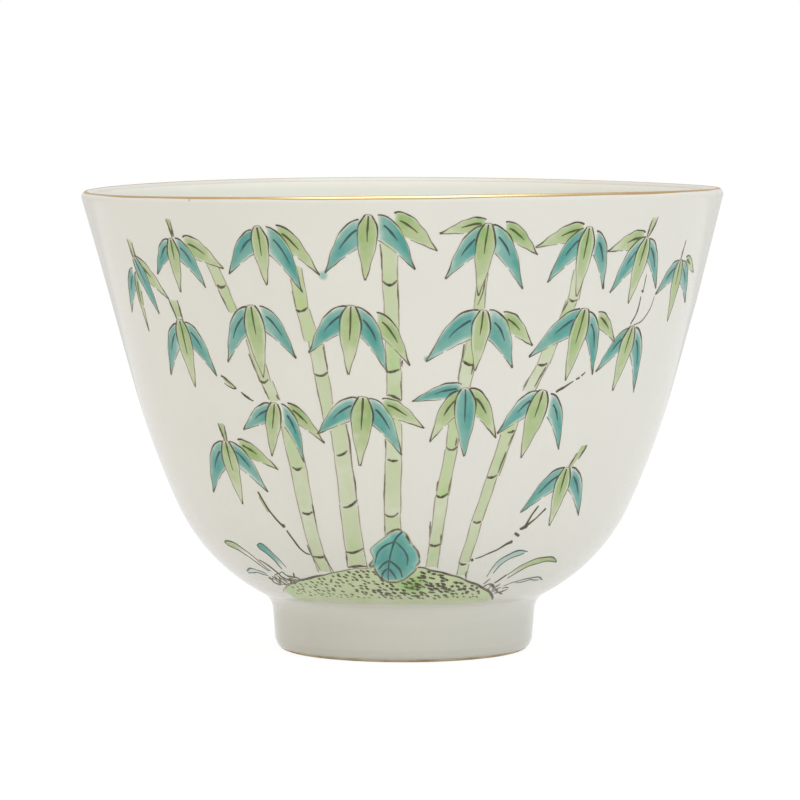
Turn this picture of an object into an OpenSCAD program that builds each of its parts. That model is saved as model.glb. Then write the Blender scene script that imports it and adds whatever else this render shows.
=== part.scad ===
// Porcelain tea cup: flared bowl on a turned foot, gilded lip, bamboo grove in overglaze enamels.
// Millimetres, +Z up. The origin is the centre of the circle the foot stands on; the painting faces -Y.
// The bowl and its foot are one turned piece of clay. Glaze, enamels and gilding are coats fired on to it
// one after another, so each is a solid of its own that follows the wall.

/* [Bowl] */
// Widest diameter, at the lip
rim_d = 80; // [72:0.5:90]
// Height of the glazed lip above the table
cup_h = 57.5; // [51:0.5:66]
// Lean of the straight upper wall, degrees from upright
wall_flare = 15.3; // [12:0.1:18]
// Height at which the straight outer wall starts to curve in
belly_z = 33; // [29:0.5:38]
// Lean of the underside where it meets the foot, degrees from upright
hip_lean = 62; // [56:0.5:68]
// Share of the way from the wall's lean to the chord's at which belly and hip arcs meet
belly_share = 0.56; // [0.45:0.01:0.65]
// Thickness of the rounded lip
lip_t = 1.3; // [1:0.05:2]
// How many degrees more the inner wall leans, so that the wall thickens downward
wall_taper = 1.7; // [1:0.1:2.6]
// Height at which the straight inner wall starts to curve in
inner_belly_z = 34; // [30:0.5:39]
// Height of the flat floor inside
floor_z = 9.3; // [8.6:0.1:10.5]
// Radius of the flat floor inside
floor_r = 10; // [7:0.5:12]
// Share of the way from the inner wall's lean to the chord's at which the two inner arcs meet
well_share = 0.5; // [0.4:0.01:0.6]

/* [Foot] */
// Diameter of the foot ring
foot_d = 32.4; // [29:0.2:36]
// Height of the upright side of the foot, below the cove
foot_h = 4.8; // [4:0.1:5.8]
// Radius of the cove between foot and bowl
cove_r = 2.7; // [2:0.1:3.5]
// Width of the foot ring on the table side
foot_wall = 3.2; // [2.6:0.1:4.2]
// Depth of the recess inside the foot ring
recess_h = 5.2; // [3.6:0.1:5.8]
// Radius of the corner at the top of the recess
recess_round = 1.6; // [1:0.1:2]
// Radius of the foot's outer bottom edge
foot_round = 0.9; // [0.5:0.05:1.2]
// Radius of the foot's inner bottom edge
heel_round = 0.6; // [0.3:0.05:0.9]
// Upright band of bare clay between the rounded bottom edge and the glaze
bare_band = 0.2; // [0.1:0.05:0.8]

/* [Coats] */
// Thickness of the clear glaze
glaze_t = 0.25; // [0.15:0.01:0.4]
// Thickness of the overglaze enamels
enamel_t = 0.15; // [0.1:0.01:0.25]
// Thickness of the gilding
gilt_t = 0.06; // [0.05:0.01:0.12]
// How far the gilding reaches down from the top of the lip
gilt_drop = 0.45; // [0.3:0.05:0.6]

/* [Painting] */
// Width of a leaf for each millimetre of its length
leaf_plump = 0.31; // [0.24:0.01:0.36]
// Droop of a leaf that lies sideways, for each millimetre of its length
leaf_droop = 0.07; // [0:0.01:0.1]
// Brush width of the twigs
twig_w = 0.45; // [0.3:0.05:0.7]

/* [Node] */
// Which node to draw

/* [Hidden] */
$fn = 200;

PORCELAIN = [0.90, 0.88, 0.83];
GLAZE = [0.87, 0.86, 0.82];
GOLD = [0.80, 0.62, 0.30];
TURQUOISE_ENAMEL = [0.36, 0.68, 0.66];
GREEN_ENAMEL = [0.73, 0.82, 0.60];
MOUND_ENAMEL = [0.71, 0.75, 0.58];
BROWN_ENAMEL = [0.24, 0.21, 0.15];

rim_r = rim_d / 2;
foot_r = foot_d / 2;
recess_r = foot_r - foot_wall;
bare_h = foot_round + bare_band;
lip_r = lip_t / 2;
inner_flare = wall_flare + wall_taper;
above = 6;
// Neighbouring arcs overlap by this much, so that each pair crosses at one clean point.
blend = 0.002;

// The profile of the outer surface, from the lip down: straight wall, belly arc, hip arc, cove, foot.
lip_c = [rim_r - lip_r, cup_h - lip_r];
lip_out = [cos(wall_flare), -sin(wall_flare)];
lip_in = [-cos(inner_flare), sin(inner_flare)];
wall_top = lip_c + lip_r * lip_out;
wall_low = [wall_top.x - (wall_top.y - belly_z) * tan(wall_flare), belly_z];
cove_c = [foot_r + cove_r, foot_h];
hip_low = cove_c + cove_r * [-cos(hip_lean), sin(hip_lean)];
belly_lean = wall_flare + belly_share * (chord_lean(hip_low, wall_low) - wall_flare);
belly_radii = arc_radii(wall_low - hip_low, hip_lean, belly_lean, wall_flare);
hip_c = hip_low + belly_radii[0] * inward(hip_lean);
belly_mid = hip_c - belly_radii[0] * inward(belly_lean);
belly_c = belly_mid + belly_radii[1] * inward(belly_lean);

// The profile of the inside: flat floor, two arcs, straight wall up to the lip.
inner_top = lip_c + lip_r * lip_in;
inner_low = [inner_top.x - (inner_top.y - inner_belly_z) * tan(inner_flare), inner_belly_z];
floor_edge = [floor_r, floor_z];
well_lean = inner_flare + well_share * (chord_lean(floor_edge, inner_low) - inner_flare);
well_radii = arc_radii(inner_low - floor_edge, 90, well_lean, inner_flare);
well_c = floor_edge + well_radii[0] * inward(90);
well_mid = well_c - well_radii[0] * inward(well_lean);
throat_c = well_mid + well_radii[1] * inward(well_lean);
lip_tail = lip_c + above * lip_in;
// Where the coat outside is told from those inside, as a depth under the outer surface, and the height
// in the clay of the floor that parts the coat of the hollow from that of the recess.
split = (glaze_t + lip_r) / 2;
mid_floor_z = (floor_z + recess_h) / 2;

// The painting was set out between these two heights; it is spread over the wall of the cup as sized.
DRAWN = [7.2, 57.5];

TURQUOISE = 0;
GREEN = 1;
// Where a leaf's edge is set out, as shares of its length from base to tip.
STATIONS = [0.05, 0.15, 0.3, 0.45, 0.6, 0.75, 0.88];

// Sprays: azimuth of the crown, then leaves from front to back as
// [enamel, base azimuth, base height, tip azimuth, tip height, and a slimness where it is a narrow leaf].
UPPER = [
    [-59, [GREEN, -60.2, 47.3, -61, 41], [TURQUOISE, -61.6, 48.2, -66.5, 43],
        [TURQUOISE, -58.5, 49.2, -54.6, 43.4], [GREEN, -57, 49.5, -50.2, 45.2, 0.8]],
    [-45, [GREEN, -45.6, 52.3, -45.9, 46], [TURQUOISE, -46.8, 52.3, -51.5, 48],
        [TURQUOISE, -44, 52.4, -39.2, 46.7], [GREEN, -42, 52.6, -34.4, 49]],
    [-25, [GREEN, -26, 54, -25.6, 47.2], [TURQUOISE, -27, 53.6, -33, 48.4],
        [TURQUOISE, -24.2, 53.8, -18.8, 46.5], [GREEN, -22, 54.2, -15.3, 48.5, 0.8]],
    [-5.5, [GREEN, -6, 55.3, -6.9, 47.9], [TURQUOISE, -7.4, 54.9, -14, 48.8],
        [TURQUOISE, -4, 55.4, 1.8, 49.2], [GREEN, -1.2, 55.6, 5.6, 51.3]],
    [14.5, [GREEN, 14.5, 54.2, 13.6, 46.1, 0.9], [TURQUOISE, 13.8, 54.1, 7.5, 48.1],
        [TURQUOISE, 15.9, 54.1, 21.8, 46.8, 0.9], [GREEN, 18, 54.4, 24, 50.7, 0.9],
        [GREEN, 13.6, 54.7, 6.3, 53.2, 0.8]],
    [33.5, [GREEN, 34, 53.6, 33.5, 45.7, 0.9], [TURQUOISE, 33, 53.5, 26.9, 47.5],
        [TURQUOISE, 36.2, 53.2, 39.4, 46.5], [GREEN, 32.4, 54, 23.8, 51.5, 0.8]],
    [48.5, [GREEN, 48.6, 52.1, 47, 44.6], [TURQUOISE, 47.7, 52.3, 41.5, 46],
        [TURQUOISE, 49.9, 52.1, 54.6, 46.2, 0.9], [GREEN, 47.3, 52.8, 39.2, 50.8, 0.9]],
    [62, [GREEN, 62, 49.2, 62.7, 42], [TURQUOISE, 61, 49.2, 55.2, 45.4],
        [TURQUOISE, 63.8, 49.1, 69.8, 44, 0.9], [GREEN, 65, 49.6, 70.5, 47.6, 0.8]]];
MIDDLE = [
    [-48, [GREEN, -48, 42.4, -47.6, 34.5], [TURQUOISE, -49.8, 41.9, -55, 35.7],
        [TURQUOISE, -46, 42.2, -40.7, 36]],
    [-29.5, [GREEN, -29.5, 44.5, -29, 36.1], [TURQUOISE, -31, 44.4, -36.8, 37.8],
        [TURQUOISE, -27.2, 44.5, -21.4, 38.5]],
    [-9.5, [GREEN, -9.7, 44.7, -10.9, 36.7], [TURQUOISE, -11, 44.7, -18.4, 39.2],
        [TURQUOISE, -8.2, 44.6, -3.3, 37], [GREEN, -4.6, 44, 1, 37.8, 0.9]],
    [15, [GREEN, 14.8, 44.1, 14, 37.1], [TURQUOISE, 13.3, 44.2, 4.5, 38.3],
        [TURQUOISE, 16.4, 44.2, 21.5, 37.4], [GREEN, 19.2, 43.9, 25.2, 39.9]],
    [36, [GREEN, 36, 44, 34.2, 35.6, 0.9], [TURQUOISE, 35, 44, 25.2, 38.6, 0.9],
        [TURQUOISE, 37.6, 43.7, 40.8, 36.2], [GREEN, 39.9, 43.6, 45.2, 39.9, 0.9]],
    [50, [GREEN, 49.8, 41.5, 48, 34], [TURQUOISE, 48.7, 41.4, 41.8, 36.4, 0.9],
        [TURQUOISE, 51.4, 41.4, 55.5, 33.6]]];
LOWER = [
    [-27, [GREEN, -27.5, 33, -30, 26.7], [TURQUOISE, -28.6, 32.8, -35.9, 29.6],
        [TURQUOISE, -25.3, 33, -22.5, 26], [GREEN, -24, 33.1, -17.4, 28.4, 0.9]],
    [-9, [GREEN, -8.2, 33.8, -9.6, 25.7], [TURQUOISE, -10, 33.7, -18.2, 29.4],
        [TURQUOISE, -6.5, 33.7, -0.6, 27], [GREEN, -3.8, 33.6, 4, 30.2, 0.9]],
    [11.5, [TURQUOISE, 12.3, 34.8, 13, 26.8], [GREEN, 11.1, 34.7, 5.6, 28.6],
        [GREEN, 13.9, 34.9, 19.6, 28.9], [TURQUOISE, 11, 35.3, 1.8, 33.4, 0.8]],
    [28.5, [GREEN, 29.2, 34.3, 26.4, 26.4], [TURQUOISE, 27.6, 34.3, 20.1, 29.4],
        [TURQUOISE, 31.6, 33.9, 35.6, 27.2]],
    [-42, [GREEN, -42.3, 28.1, -42, 20.3], [TURQUOISE, -44, 27.9, -51.5, 21.5],
        [TURQUOISE, -40.6, 28, -33.5, 22.2], [GREEN, -38, 28.3, -29.4, 25, 0.8]],
    [39, [GREEN, 39.3, 24.6, 39, 17.6], [TURQUOISE, 38, 24.7, 29.3, 19.5, 0.9],
        [TURQUOISE, 41.5, 24.6, 48.2, 18.6, 0.9]]];

// Culms, one internode to a row: [top height, left and right azimuth, bottom height, left and right azimuth].
LEFT_CULM = [[49.6, -38, -35.6, 46.9, -36.5, -34], [46.6, -36.4, -34, 43.9, -34.6, -32.6],
    [41, -32, -29, 35.7, -30.1, -27.5], [35.3, -29.8, -27, 33.4, -28.4, -25.9],
    [30.4, -26.6, -22.9, 25.1, -25.9, -22], [24.7, -25.9, -21.9, 19.6, -25.7, -21.9],
    [19.2, -25.6, -21.9, 14.1, -25.3, -21.7], [13.7, -25.4, -21.6, 12, -25.5, -21.4]];
INNER_LEFT_CULM = [[48.2, -20.9, -18.2, 44.6, -20.3, -17.8], [44.1, -20.2, -17.6, 41.6, -19.8, -16.8],
    [40.2, -18.4, -15.4, 36.7, -17.9, -15], [36.2, -17.8, -14.9, 31.2, -16.7, -14.2],
    [30.6, -15.6, -11.9, 27.1, -15.1, -11.6], [26.6, -15.1, -11.5, 21, -15, -10.9],
    [20.4, -15.1, -10.8, 14.9, -15.3, -10.4], [14.5, -15.4, -10.4, 12.8, -15.8, -10.2]];
CENTRE_CULM = [[52.2, -4.1, -1.1, 47.7, -3.8, -1.1], [47.2, -3.8, -1, 42.6, -3.5, -0.9],
    [42.2, -3.5, -0.9, 37.2, -3.4, -0.6], [36.7, -3.3, -0.4, 34.2, -3.4, -0.5],
    [33.7, -3.4, -0.4, 26.4, -3.9, -0.5], [25.9, -4, -0.5, 19.7, -4.6, -0.8],
    [19.2, -4.6, -0.9, 16.5, -4.6, -0.6]];
INNER_RIGHT_CULM = [[50, 13.2, 15.1, 44.6, 13, 14.9], [42, 12.3, 14.8, 38.1, 11.4, 14.2],
    [37.5, 11.2, 14, 35.2, 10.6, 13.2], [31.5, 9.3, 11.8, 27.8, 9, 11.5],
    [27.3, 8.9, 11.4, 22, 7.4, 10.3], [21.5, 7.3, 10.2, 15.9, 6.5, 9.5],
    [15.4, 6.5, 9.4, 12.8, 6.1, 9.4]];
RIGHT_CULM = [[48.5, 32, 34.6, 45.3, 31.7, 34.1], [44.9, 31.3, 33.8, 43, 30.4, 32.8],
    [40.5, 28.2, 31.2, 37.7, 27, 29.8], [37.2, 26.8, 29.5, 34.6, 24.5, 27.3],
    [30.4, 21.4, 24.4, 24.3, 18.9, 21.7], [23.7, 18.8, 21.3, 18.7, 16.6, 19.3],
    [18.1, 16.5, 19.2, 13.4, 15.2, 18.1], [12.8, 15.4, 18.3, 11.8, 15.6, 18.6]];
STEMS = [[52, -59.6, -57.9, 49.8, -59.4, -57.8], [54.8, -45.9, -44.5, 52.8, -45.5, -44.6],
    [44.8, -49.8, -47.2, 42.7, -48.8, -46.8], [30, -43.2, -41.2, 28.4, -42.5, -41.3],
    [27.3, 42.2, 43.9, 25, 40.4, 41.3], [54.5, 48.9, 50.5, 52.9, 48.4, 49.4]];

// Outlines of the ground, as [azimuth, height] round the shape.
MOUND = [[-50, 8], [-45, 9], [-40, 9.8], [-33, 10.5], [-27, 11.1], [-22, 11.6], [-16, 12.2], [-10, 12.5],
    [4.5, 12.5], [10, 12], [15, 11.3], [20, 10.5], [26, 9.6], [31, 8.9], [35.5, 8],
    [24, 7.5], [0, 7.4], [-24, 7.4], [-38, 7.5]];
ROCK = [[-9.3, 13], [-8.2, 13.9], [-8.7, 15], [-6.5, 16], [-4, 16.9], [-2, 17.5], [-0.4, 17.4], [0.8, 17],
    [2, 15.9], [3.5, 15], [4.2, 14], [4.1, 13.4], [3.3, 12.9], [3.5, 12.4], [2, 11.7], [0, 11], [-3, 10.8],
    [-6, 11], [-8, 12], [-8, 12.6]];
GREEN_BLADES = [
    [[-42.6, 11.4], [-45.5, 13], [-49, 14.4], [-53, 15], [-58, 14.7], [-53, 14.2], [-48, 13.2], [-44, 11.5]],
    [[31, 11.1], [35, 12.6], [40, 13.3], [45, 13.3], [50, 12.5], [45, 12.6], [40, 12.4], [36, 11.7], [33, 10.8]]];
TURQUOISE_BLADES = [
    [[-36.4, 12.2], [-38, 13.8], [-40, 15], [-41.6, 15.1], [-42.5, 14.6], [-39, 13.2], [-37.8, 12]],
    [[-48, 11], [-52, 11.6], [-58.5, 11], [-52, 11.1]],
    [[25.7, 11.1], [26.5, 13], [28.5, 14], [31, 14.5], [35.5, 14.3], [31, 13.8], [28.5, 13], [27, 11.7]],
    [[35, 9.8], [38, 10.5], [44, 10.8], [50, 10.2], [44, 10.3], [38, 10]]];
// Twig strokes, as [azimuth, height] along the brush.
TWIGS = [
    [[-36.2, 21.7], [-34.5, 20], [-31.2, 17.6]], [[-30.4, 17.1], [-28.9, 15.5], [-26.8, 14.4]],
    [[20, 13.7], [25, 14.6], [28.8, 15.7]], [[29.4, 16.8], [30.3, 16.4]], [[30.5, 17.3], [31.6, 17.6]],
    [[31.8, 18], [33.7, 20]], [[32.3, 17.8], [36.1, 19.6]],
    [[50.7, 47.6], [50.6, 46]], [[50.4, 45.2], [50.1, 43.3], [49.4, 42.2]],
    [[54.6, 44.6], [54.1, 43.5], [52.4, 42.4]],
    [[-39, 35.8], [-36, 34.5]], [[-34.8, 34], [-32.5, 33.2]],
    [[33.4, 34.5], [36, 35.2]], [[36.9, 35.5], [37.7, 35.8]]];

function unit(v) = v / norm(v);
function turned(v, a) = [v.x * cos(a) - v.y * sin(a), v.x * sin(a) + v.y * cos(a)];
function inset(p, c, g) = c + unit(p - c) * (norm(p - c) - g);

// Lean from upright of the line from p to q.
function chord_lean(p, q) = atan2(q.x - p.x, q.y - p.y);

// From a surface that leans by a, the way to the centre it curves round.
function inward(a) = [-cos(a), sin(a)];

// Radii of two arcs in a row that together lead along v, as the lean goes from a0 through a1 to a2.
function arc_radii(v, a0, a1, a2) = let (
    p = [cos(a1) - cos(a0), sin(a0) - sin(a1)],
    q = [cos(a2) - cos(a1), sin(a1) - sin(a2)],
    k = p.x * q.y - p.y * q.x
) [(v.x * q.y - v.y * q.x) / k, (p.x * v.y - p.y * v.x) / k];

// Radius of the glazed wall at a height.
function wall_r(z) =
    z >= wall_low.y ? wall_low.x + (z - wall_low.y) * tan(wall_flare) :
    z >= belly_mid.y ? arc_r(z, belly_c, norm(wall_low - belly_c)) :
    z >= hip_low.y ? arc_r(z, hip_c, norm(hip_low - hip_c)) :
    cove_c.x - sqrt(max(cove_r * cove_r - (z - cove_c.y) * (z - cove_c.y), 0));
function arc_r(z, c, r) = c.x + sqrt(r * r - (z - c.y) * (z - c.y));

// Height on this cup of a height in the painting, and a painted point seen square on from azimuth az0.
function lifted(z) = hip_low.y + (z - DRAWN[0]) * (cup_h - hip_low.y) / (DRAWN[1] - DRAWN[0]);
function seen(az, z, az0) = [wall_r(lifted(z)) * sin(az - az0), lifted(z)];

// The band of a disc round c between two points on its edge, a quarter of their distance deep.
// It runs past the second point by an eighth of it.
module arc_band(p, q, c, r) {
    deep = norm(q - p) / 4;
    np = unit(p - c) * deep;
    nq = unit(q - c) * deep;
    far = q + (q - p) / 8;
    intersection() {
        translate(c) circle(r = r);
        polygon([p - np, p + np, far + nq, far - nq]);
    }
}

// Half section filled in from the axis to the outer surface, taken in by g.
module outer_fill(g) {
    hip = inset(hip_low, hip_c, g);
    mid = inset(belly_mid, hip_c, g);
    low = inset(wall_low, belly_c, g);
    difference() {
        union() {
            polygon([[0, 0], [foot_r - g, 0], [foot_r - g, foot_h], hip, inset(belly_mid, hip_c, g + 1),
                inset(wall_low, belly_c, g + 1), low, lip_c + (lip_r - g) * lip_out, lip_c, lip_tail,
                [0, lip_tail.y]]);
            arc_band(mid, low, belly_c, norm(low - belly_c) + blend);
            arc_band(hip, mid, hip_c, norm(hip - hip_c) + 2 * blend);
        }
        translate(cove_c) circle(r = cove_r + g + blend);
    }
}

// Half section of the hollow inside, made larger by g.
module cavity_fill(g) {
    edge = [floor_r, floor_z - g];
    mid = inset(well_mid, well_c, -g);
    low = inset(inner_low, throat_c, -g);
    polygon([[0, floor_z - g], edge, inset(well_mid, well_c, 1 - g), inset(inner_low, throat_c, 1 - g), low,
        lip_c + (lip_r - g) * lip_in, lip_tail + [0, 1], [0, lip_tail.y + 1]]);
    arc_band(mid, low, throat_c, norm(low - throat_c) + blend);
    arc_band(edge, mid, well_c, norm(edge - well_c) + 2 * blend);
}

// Half section of the recess under the foot, made larger by g.
module recess_fill(g) {
    r = recess_round + g;
    square([recess_r + g - r, recess_h + g]);
    square([recess_r + g, recess_h + g - r]);
    translate([recess_r + g - r, recess_h + g - r]) circle(r = r);
}

// Half section of the whole cup, all its surfaces taken in by g.
module section(g) difference() {
    union() {
        difference() {
            outer_fill(g);
            cavity_fill(g);
        }
        translate(lip_c) circle(r = lip_r - g + blend);
    }
    recess_fill(g);
}

// What is taken off a square bottom corner at x to round it; side is 1 for an outer corner, -1 for an inner.
module corner_waste(x, r, side) difference() {
    translate([side > 0 ? x - r : x - 1, -1]) square([r + 1, r + 1]);
    translate([x - side * r, r]) circle(r = r);
}

// Half section of the glaze, wherever it lies.
module coat() difference() {
    section(0);
    section(glaze_t);
}

module porcelain_body() color(PORCELAIN) rotate_extrude() difference() {
    union() {
        section(glaze_t);
        intersection() {
            section(0);
            square([rim_d, bare_h]);
        }
    }
    corner_waste(foot_r, foot_round, 1);
    corner_waste(recess_r, heel_round, -1);
}

module outer_glaze() color(GLAZE) rotate_extrude() difference() {
    coat();
    outer_fill(split);
    square([rim_d, bare_h]);
}

// Half section of the coats within the outer one, between two heights.
module inside_coat(low, high) intersection() {
    coat();
    outer_fill(split);
    translate([0, low]) square([rim_d, high - low]);
}

module inner_glaze() color(GLAZE) rotate_extrude() inside_coat(mid_floor_z, cup_h);

module base_glaze() color(GLAZE) rotate_extrude() inside_coat(bare_h, mid_floor_z);

module gilt_rim() color(GOLD) rotate_extrude() intersection() {
    translate(lip_c) difference() {
        circle(r = lip_r + blend + gilt_t);
        circle(r = lip_r + blend);
    }
    translate([rim_r - lip_t - 1, cup_h - gilt_drop]) square([lip_t + 2, gilt_drop + 1]);
}

// The layer that the enamels lie in, over the outer wall between the foot and the lip.
module enamel_layer() rotate_extrude() intersection() {
    difference() {
        outer_fill(-enamel_t);
        outer_fill(0);
    }
    translate([foot_r / 2, foot_h]) square([rim_d, cup_h - foot_h - lip_t]);
}

// Carries a drawing, seen square on from azimuth az0, through the wall between two painted heights.
module on_wall(az0, low, high) {
    near = wall_r(lifted(low)) * cos(14) - 2;
    far = wall_r(lifted(high)) + 2;
    rotate([0, 0, az0]) rotate([90, 0, 0]) translate([0, 0, near]) linear_extrude(height = far - near) children();
}

// Half the width of a leaf at a share t of its length, as a share of its greatest width.
function leaf_half(t) = 0.5 * pow(t / 0.38, 0.55) * pow((1 - t) / 0.62, 0.9);

// A lance-shaped leaf, widest nearer its base, with its middle line drooping to the outside.
module leaf_shape(leaf, az0) {
    base = seen(leaf[1], leaf[2], az0);
    tip = seen(leaf[3], leaf[4], az0);
    along = tip - base;
    side = turned(along, 90);
    slim = len(leaf) > 5 ? leaf[5] : 1;
    droop = 4 * leaf_droop * along.x / norm(along);
    polygon(concat([base],
        [for (t = STATIONS) base + t * along + (droop * t * (1 - t) + slim * leaf_plump * leaf_half(t)) * side],
        [tip],
        [for (i = [len(STATIONS) - 1 : -1 : 0]) let (t = STATIONS[i])
            base + t * along + (droop * t * (1 - t) - slim * leaf_plump * leaf_half(t)) * side]));
}

// The leaves of one enamel in a list of sprays, each cut back where a leaf lies in front of it.
module leaves(sprays, enamel) intersection() {
    enamel_layer();
    for (s = sprays, i = [1 : len(s) - 1])
        if (s[i][0] == enamel)
            on_wall(s[0], s[i][4], s[i][2] + 1) difference() {
                leaf_shape(s[i], s[0]);
                if (i > 1)
                    for (j = [1 : i - 1])
                        leaf_shape(s[j], s[0]);
            }
}

// All the leaves of a list of sprays as they pass in front of the culms.
module cover(sprays) for (s = sprays, i = [1 : len(s) - 1])
    on_wall(s[0], s[i][4], s[i][2] + 1) leaf_shape(s[i], s[0]);

// A culm's internodes, behind the leaves of the sprays that hang over it.
module culm(rows, sprays) color(GREEN_ENAMEL) intersection() {
    enamel_layer();
    difference() {
        internodes(rows);
        cover(sprays);
        ground(ROCK);
    }
}

module internodes(rows) for (r = rows) {
    az0 = (r[1] + r[2] + r[4] + r[5]) / 4;
    on_wall(az0, r[3], r[0])
        polygon([seen(r[1], r[0], az0), seen(r[2], r[0], az0), seen(r[5], r[3], az0), seen(r[4], r[3], az0)]);
}

// A painted outline, seen from the middle of its own points.
module ground(points) {
    az0 = mean([for (p = points) p.x]);
    low = min([for (p = points) p.y]);
    high = max([for (p = points) p.y]);
    widest = max([for (p = points) abs(p.x - az0)]);
    near = wall_r(lifted(low)) * cos(widest) - 2;
    far = wall_r(lifted(high)) + 2;
    rotate([0, 0, az0]) rotate([90, 0, 0]) translate([0, 0, near]) linear_extrude(height = far - near)
        polygon([for (p = points) seen(p.x, p.y, az0)]);
}

function mean(v) = (max(v) + min(v)) / 2;

// A brush stroke of even width along a row of points.
module stroke(points) {
    az0 = mean([for (p = points) p.x]);
    low = min([for (p = points) p.y]);
    high = max([for (p = points) p.y]);
    path = [for (p = points) seen(p.x, p.y, az0)];
    last = len(path) - 1;
    across = [for (i = [0 : last]) twig_w / 2 * turned(unit(path[min(i + 1, last)] - path[max(i - 1, 0)]), 90)];
    on_wall(az0, low, high)
        polygon(concat([for (i = [0 : last]) path[i] + across[i]], [for (i = [last : -1 : 0]) path[i] - across[i]]));
}

module mound() color(MOUND_ENAMEL) intersection() {
    enamel_layer();
    difference() {
        ground(MOUND);
        ground(ROCK);
    }
}

module rock() color(TURQUOISE_ENAMEL) intersection() {
    enamel_layer();
    ground(ROCK);
}

module left_culm() culm(LEFT_CULM, [UPPER[1], MIDDLE[1], LOWER[0]]);
module inner_left_culm() culm(INNER_LEFT_CULM, [UPPER[2], MIDDLE[2], LOWER[0], LOWER[1]]);
module centre_culm() culm(CENTRE_CULM, [UPPER[3], MIDDLE[2], LOWER[1]]);
module inner_right_culm() culm(INNER_RIGHT_CULM, [UPPER[4], MIDDLE[3], LOWER[2]]);
module right_culm() culm(RIGHT_CULM, [UPPER[5], MIDDLE[4], LOWER[2], LOWER[3]]);

module spray_stems() color(GREEN_ENAMEL) intersection() {
    enamel_layer();
    difference() {
        internodes(STEMS);
        cover([UPPER[0], UPPER[1], UPPER[6], MIDDLE[0], LOWER[4], LOWER[5]]);
    }
}

module upper_turquoise_leaves() color(TURQUOISE_ENAMEL) leaves(UPPER, TURQUOISE);
module upper_green_leaves() color(GREEN_ENAMEL) leaves(UPPER, GREEN);
module middle_turquoise_leaves() color(TURQUOISE_ENAMEL) leaves(MIDDLE, TURQUOISE);
module middle_green_leaves() color(GREEN_ENAMEL) leaves(MIDDLE, GREEN);
module lower_turquoise_leaves() color(TURQUOISE_ENAMEL) leaves(LOWER, TURQUOISE);
module lower_green_leaves() color(GREEN_ENAMEL) leaves(LOWER, GREEN);

module green_grass() color(GREEN_ENAMEL) intersection() {
    enamel_layer();
    for (b = GREEN_BLADES)
        ground(b);
}

module turquoise_grass() color(TURQUOISE_ENAMEL) intersection() {
    enamel_layer();
    for (b = TURQUOISE_BLADES)
        ground(b);
}

module twigs() color(BROWN_ENAMEL) intersection() {
    enamel_layer();
    for (t = TWIGS)
        stroke(t);
}

porcelain_body();
outer_glaze();
inner_glaze();
base_glaze();
gilt_rim();
mound();
rock();
left_culm();
inner_left_culm();
centre_culm();
inner_right_culm();
right_culm();
spray_stems();
upper_turquoise_leaves();
upper_green_leaves();
middle_turquoise_leaves();
middle_green_leaves();
lower_turquoise_leaves();
lower_green_leaves();
green_grass();
turquoise_grass();
twigs();
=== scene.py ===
"""Dresses a porcelain tea cup over its solids: glaze, gilding and a bamboo grove in overglaze enamels.

Places on the painted wall are given as a spot: azimuth in degrees, 0 facing -Y and growing towards +X, and
height in millimetres above the table. Meshes are made in metres.
"""

from __future__ import annotations

import logging
import math
import random
from collections.abc import Callable, Mapping, Sequence
from dataclasses import dataclass, field, replace
from enum import Enum
from functools import cached_property, lru_cache

import bmesh
import bpy
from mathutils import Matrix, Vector

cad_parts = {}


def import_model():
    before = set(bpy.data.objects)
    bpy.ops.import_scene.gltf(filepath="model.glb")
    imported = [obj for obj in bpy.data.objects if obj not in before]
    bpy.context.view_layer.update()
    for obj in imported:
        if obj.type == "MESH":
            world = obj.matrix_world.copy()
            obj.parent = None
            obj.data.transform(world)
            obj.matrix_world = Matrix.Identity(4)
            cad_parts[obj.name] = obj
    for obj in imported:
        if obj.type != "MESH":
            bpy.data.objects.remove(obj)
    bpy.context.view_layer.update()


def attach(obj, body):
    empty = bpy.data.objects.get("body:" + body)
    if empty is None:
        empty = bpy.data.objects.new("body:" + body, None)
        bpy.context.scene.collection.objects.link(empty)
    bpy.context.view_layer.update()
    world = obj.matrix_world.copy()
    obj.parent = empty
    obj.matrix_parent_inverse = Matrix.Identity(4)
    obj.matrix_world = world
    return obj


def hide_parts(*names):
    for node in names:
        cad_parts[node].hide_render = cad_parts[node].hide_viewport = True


LOG = logging.getLogger("tea_cup")
MM = 0.001
ROOT = "root"
GLAZE_WHITE = "#e1dfd6"
WASH_MARKS = ("pool", "edge")
LINE_MARKS = ("press", "leafy", "teal")
# Settings of a node that mixes two colours, with its colour output, and of a range with soft ends.
COLOURS = {"out": 2, "data_type": "RGBA"}
SOFT = {"interpolation_type": "SMOOTHSTEP"}
# The values that a noise mostly keeps between.
NOISE = (0.25, 0.75)

Material = bpy.types.Material
Mesh = bpy.types.Mesh
Body = bpy.types.Object
Tree = bpy.types.NodeTree
Socket = bpy.types.NodeSocket
Inputs = Mapping[int | str, object] | Sequence[object]
Span = tuple[float, float]
Spot = tuple[float, float]
Row = Sequence[Spot]
Floats = Sequence[float]
Face = tuple[int, ...]
Cell = tuple[Spot, float, Floats]
Cover = Callable[[Spot], bool]


def linear(code: str) -> tuple[float, float, float, float]:
    """Turns an sRGB colour into linear light.

    Args:
        code: six hex digits after a hash sign.

    Returns:
        Red, green, blue and an alpha of 1.
    """
    parts = [int(code[i : i + 2], 16) / 255 for i in (1, 3, 5)]
    red, green, blue = (p / 12.92 if p <= 0.04045 else ((p + 0.055) / 1.055) ** 2.4 for p in parts)
    return (red, green, blue, 1.0)


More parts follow.
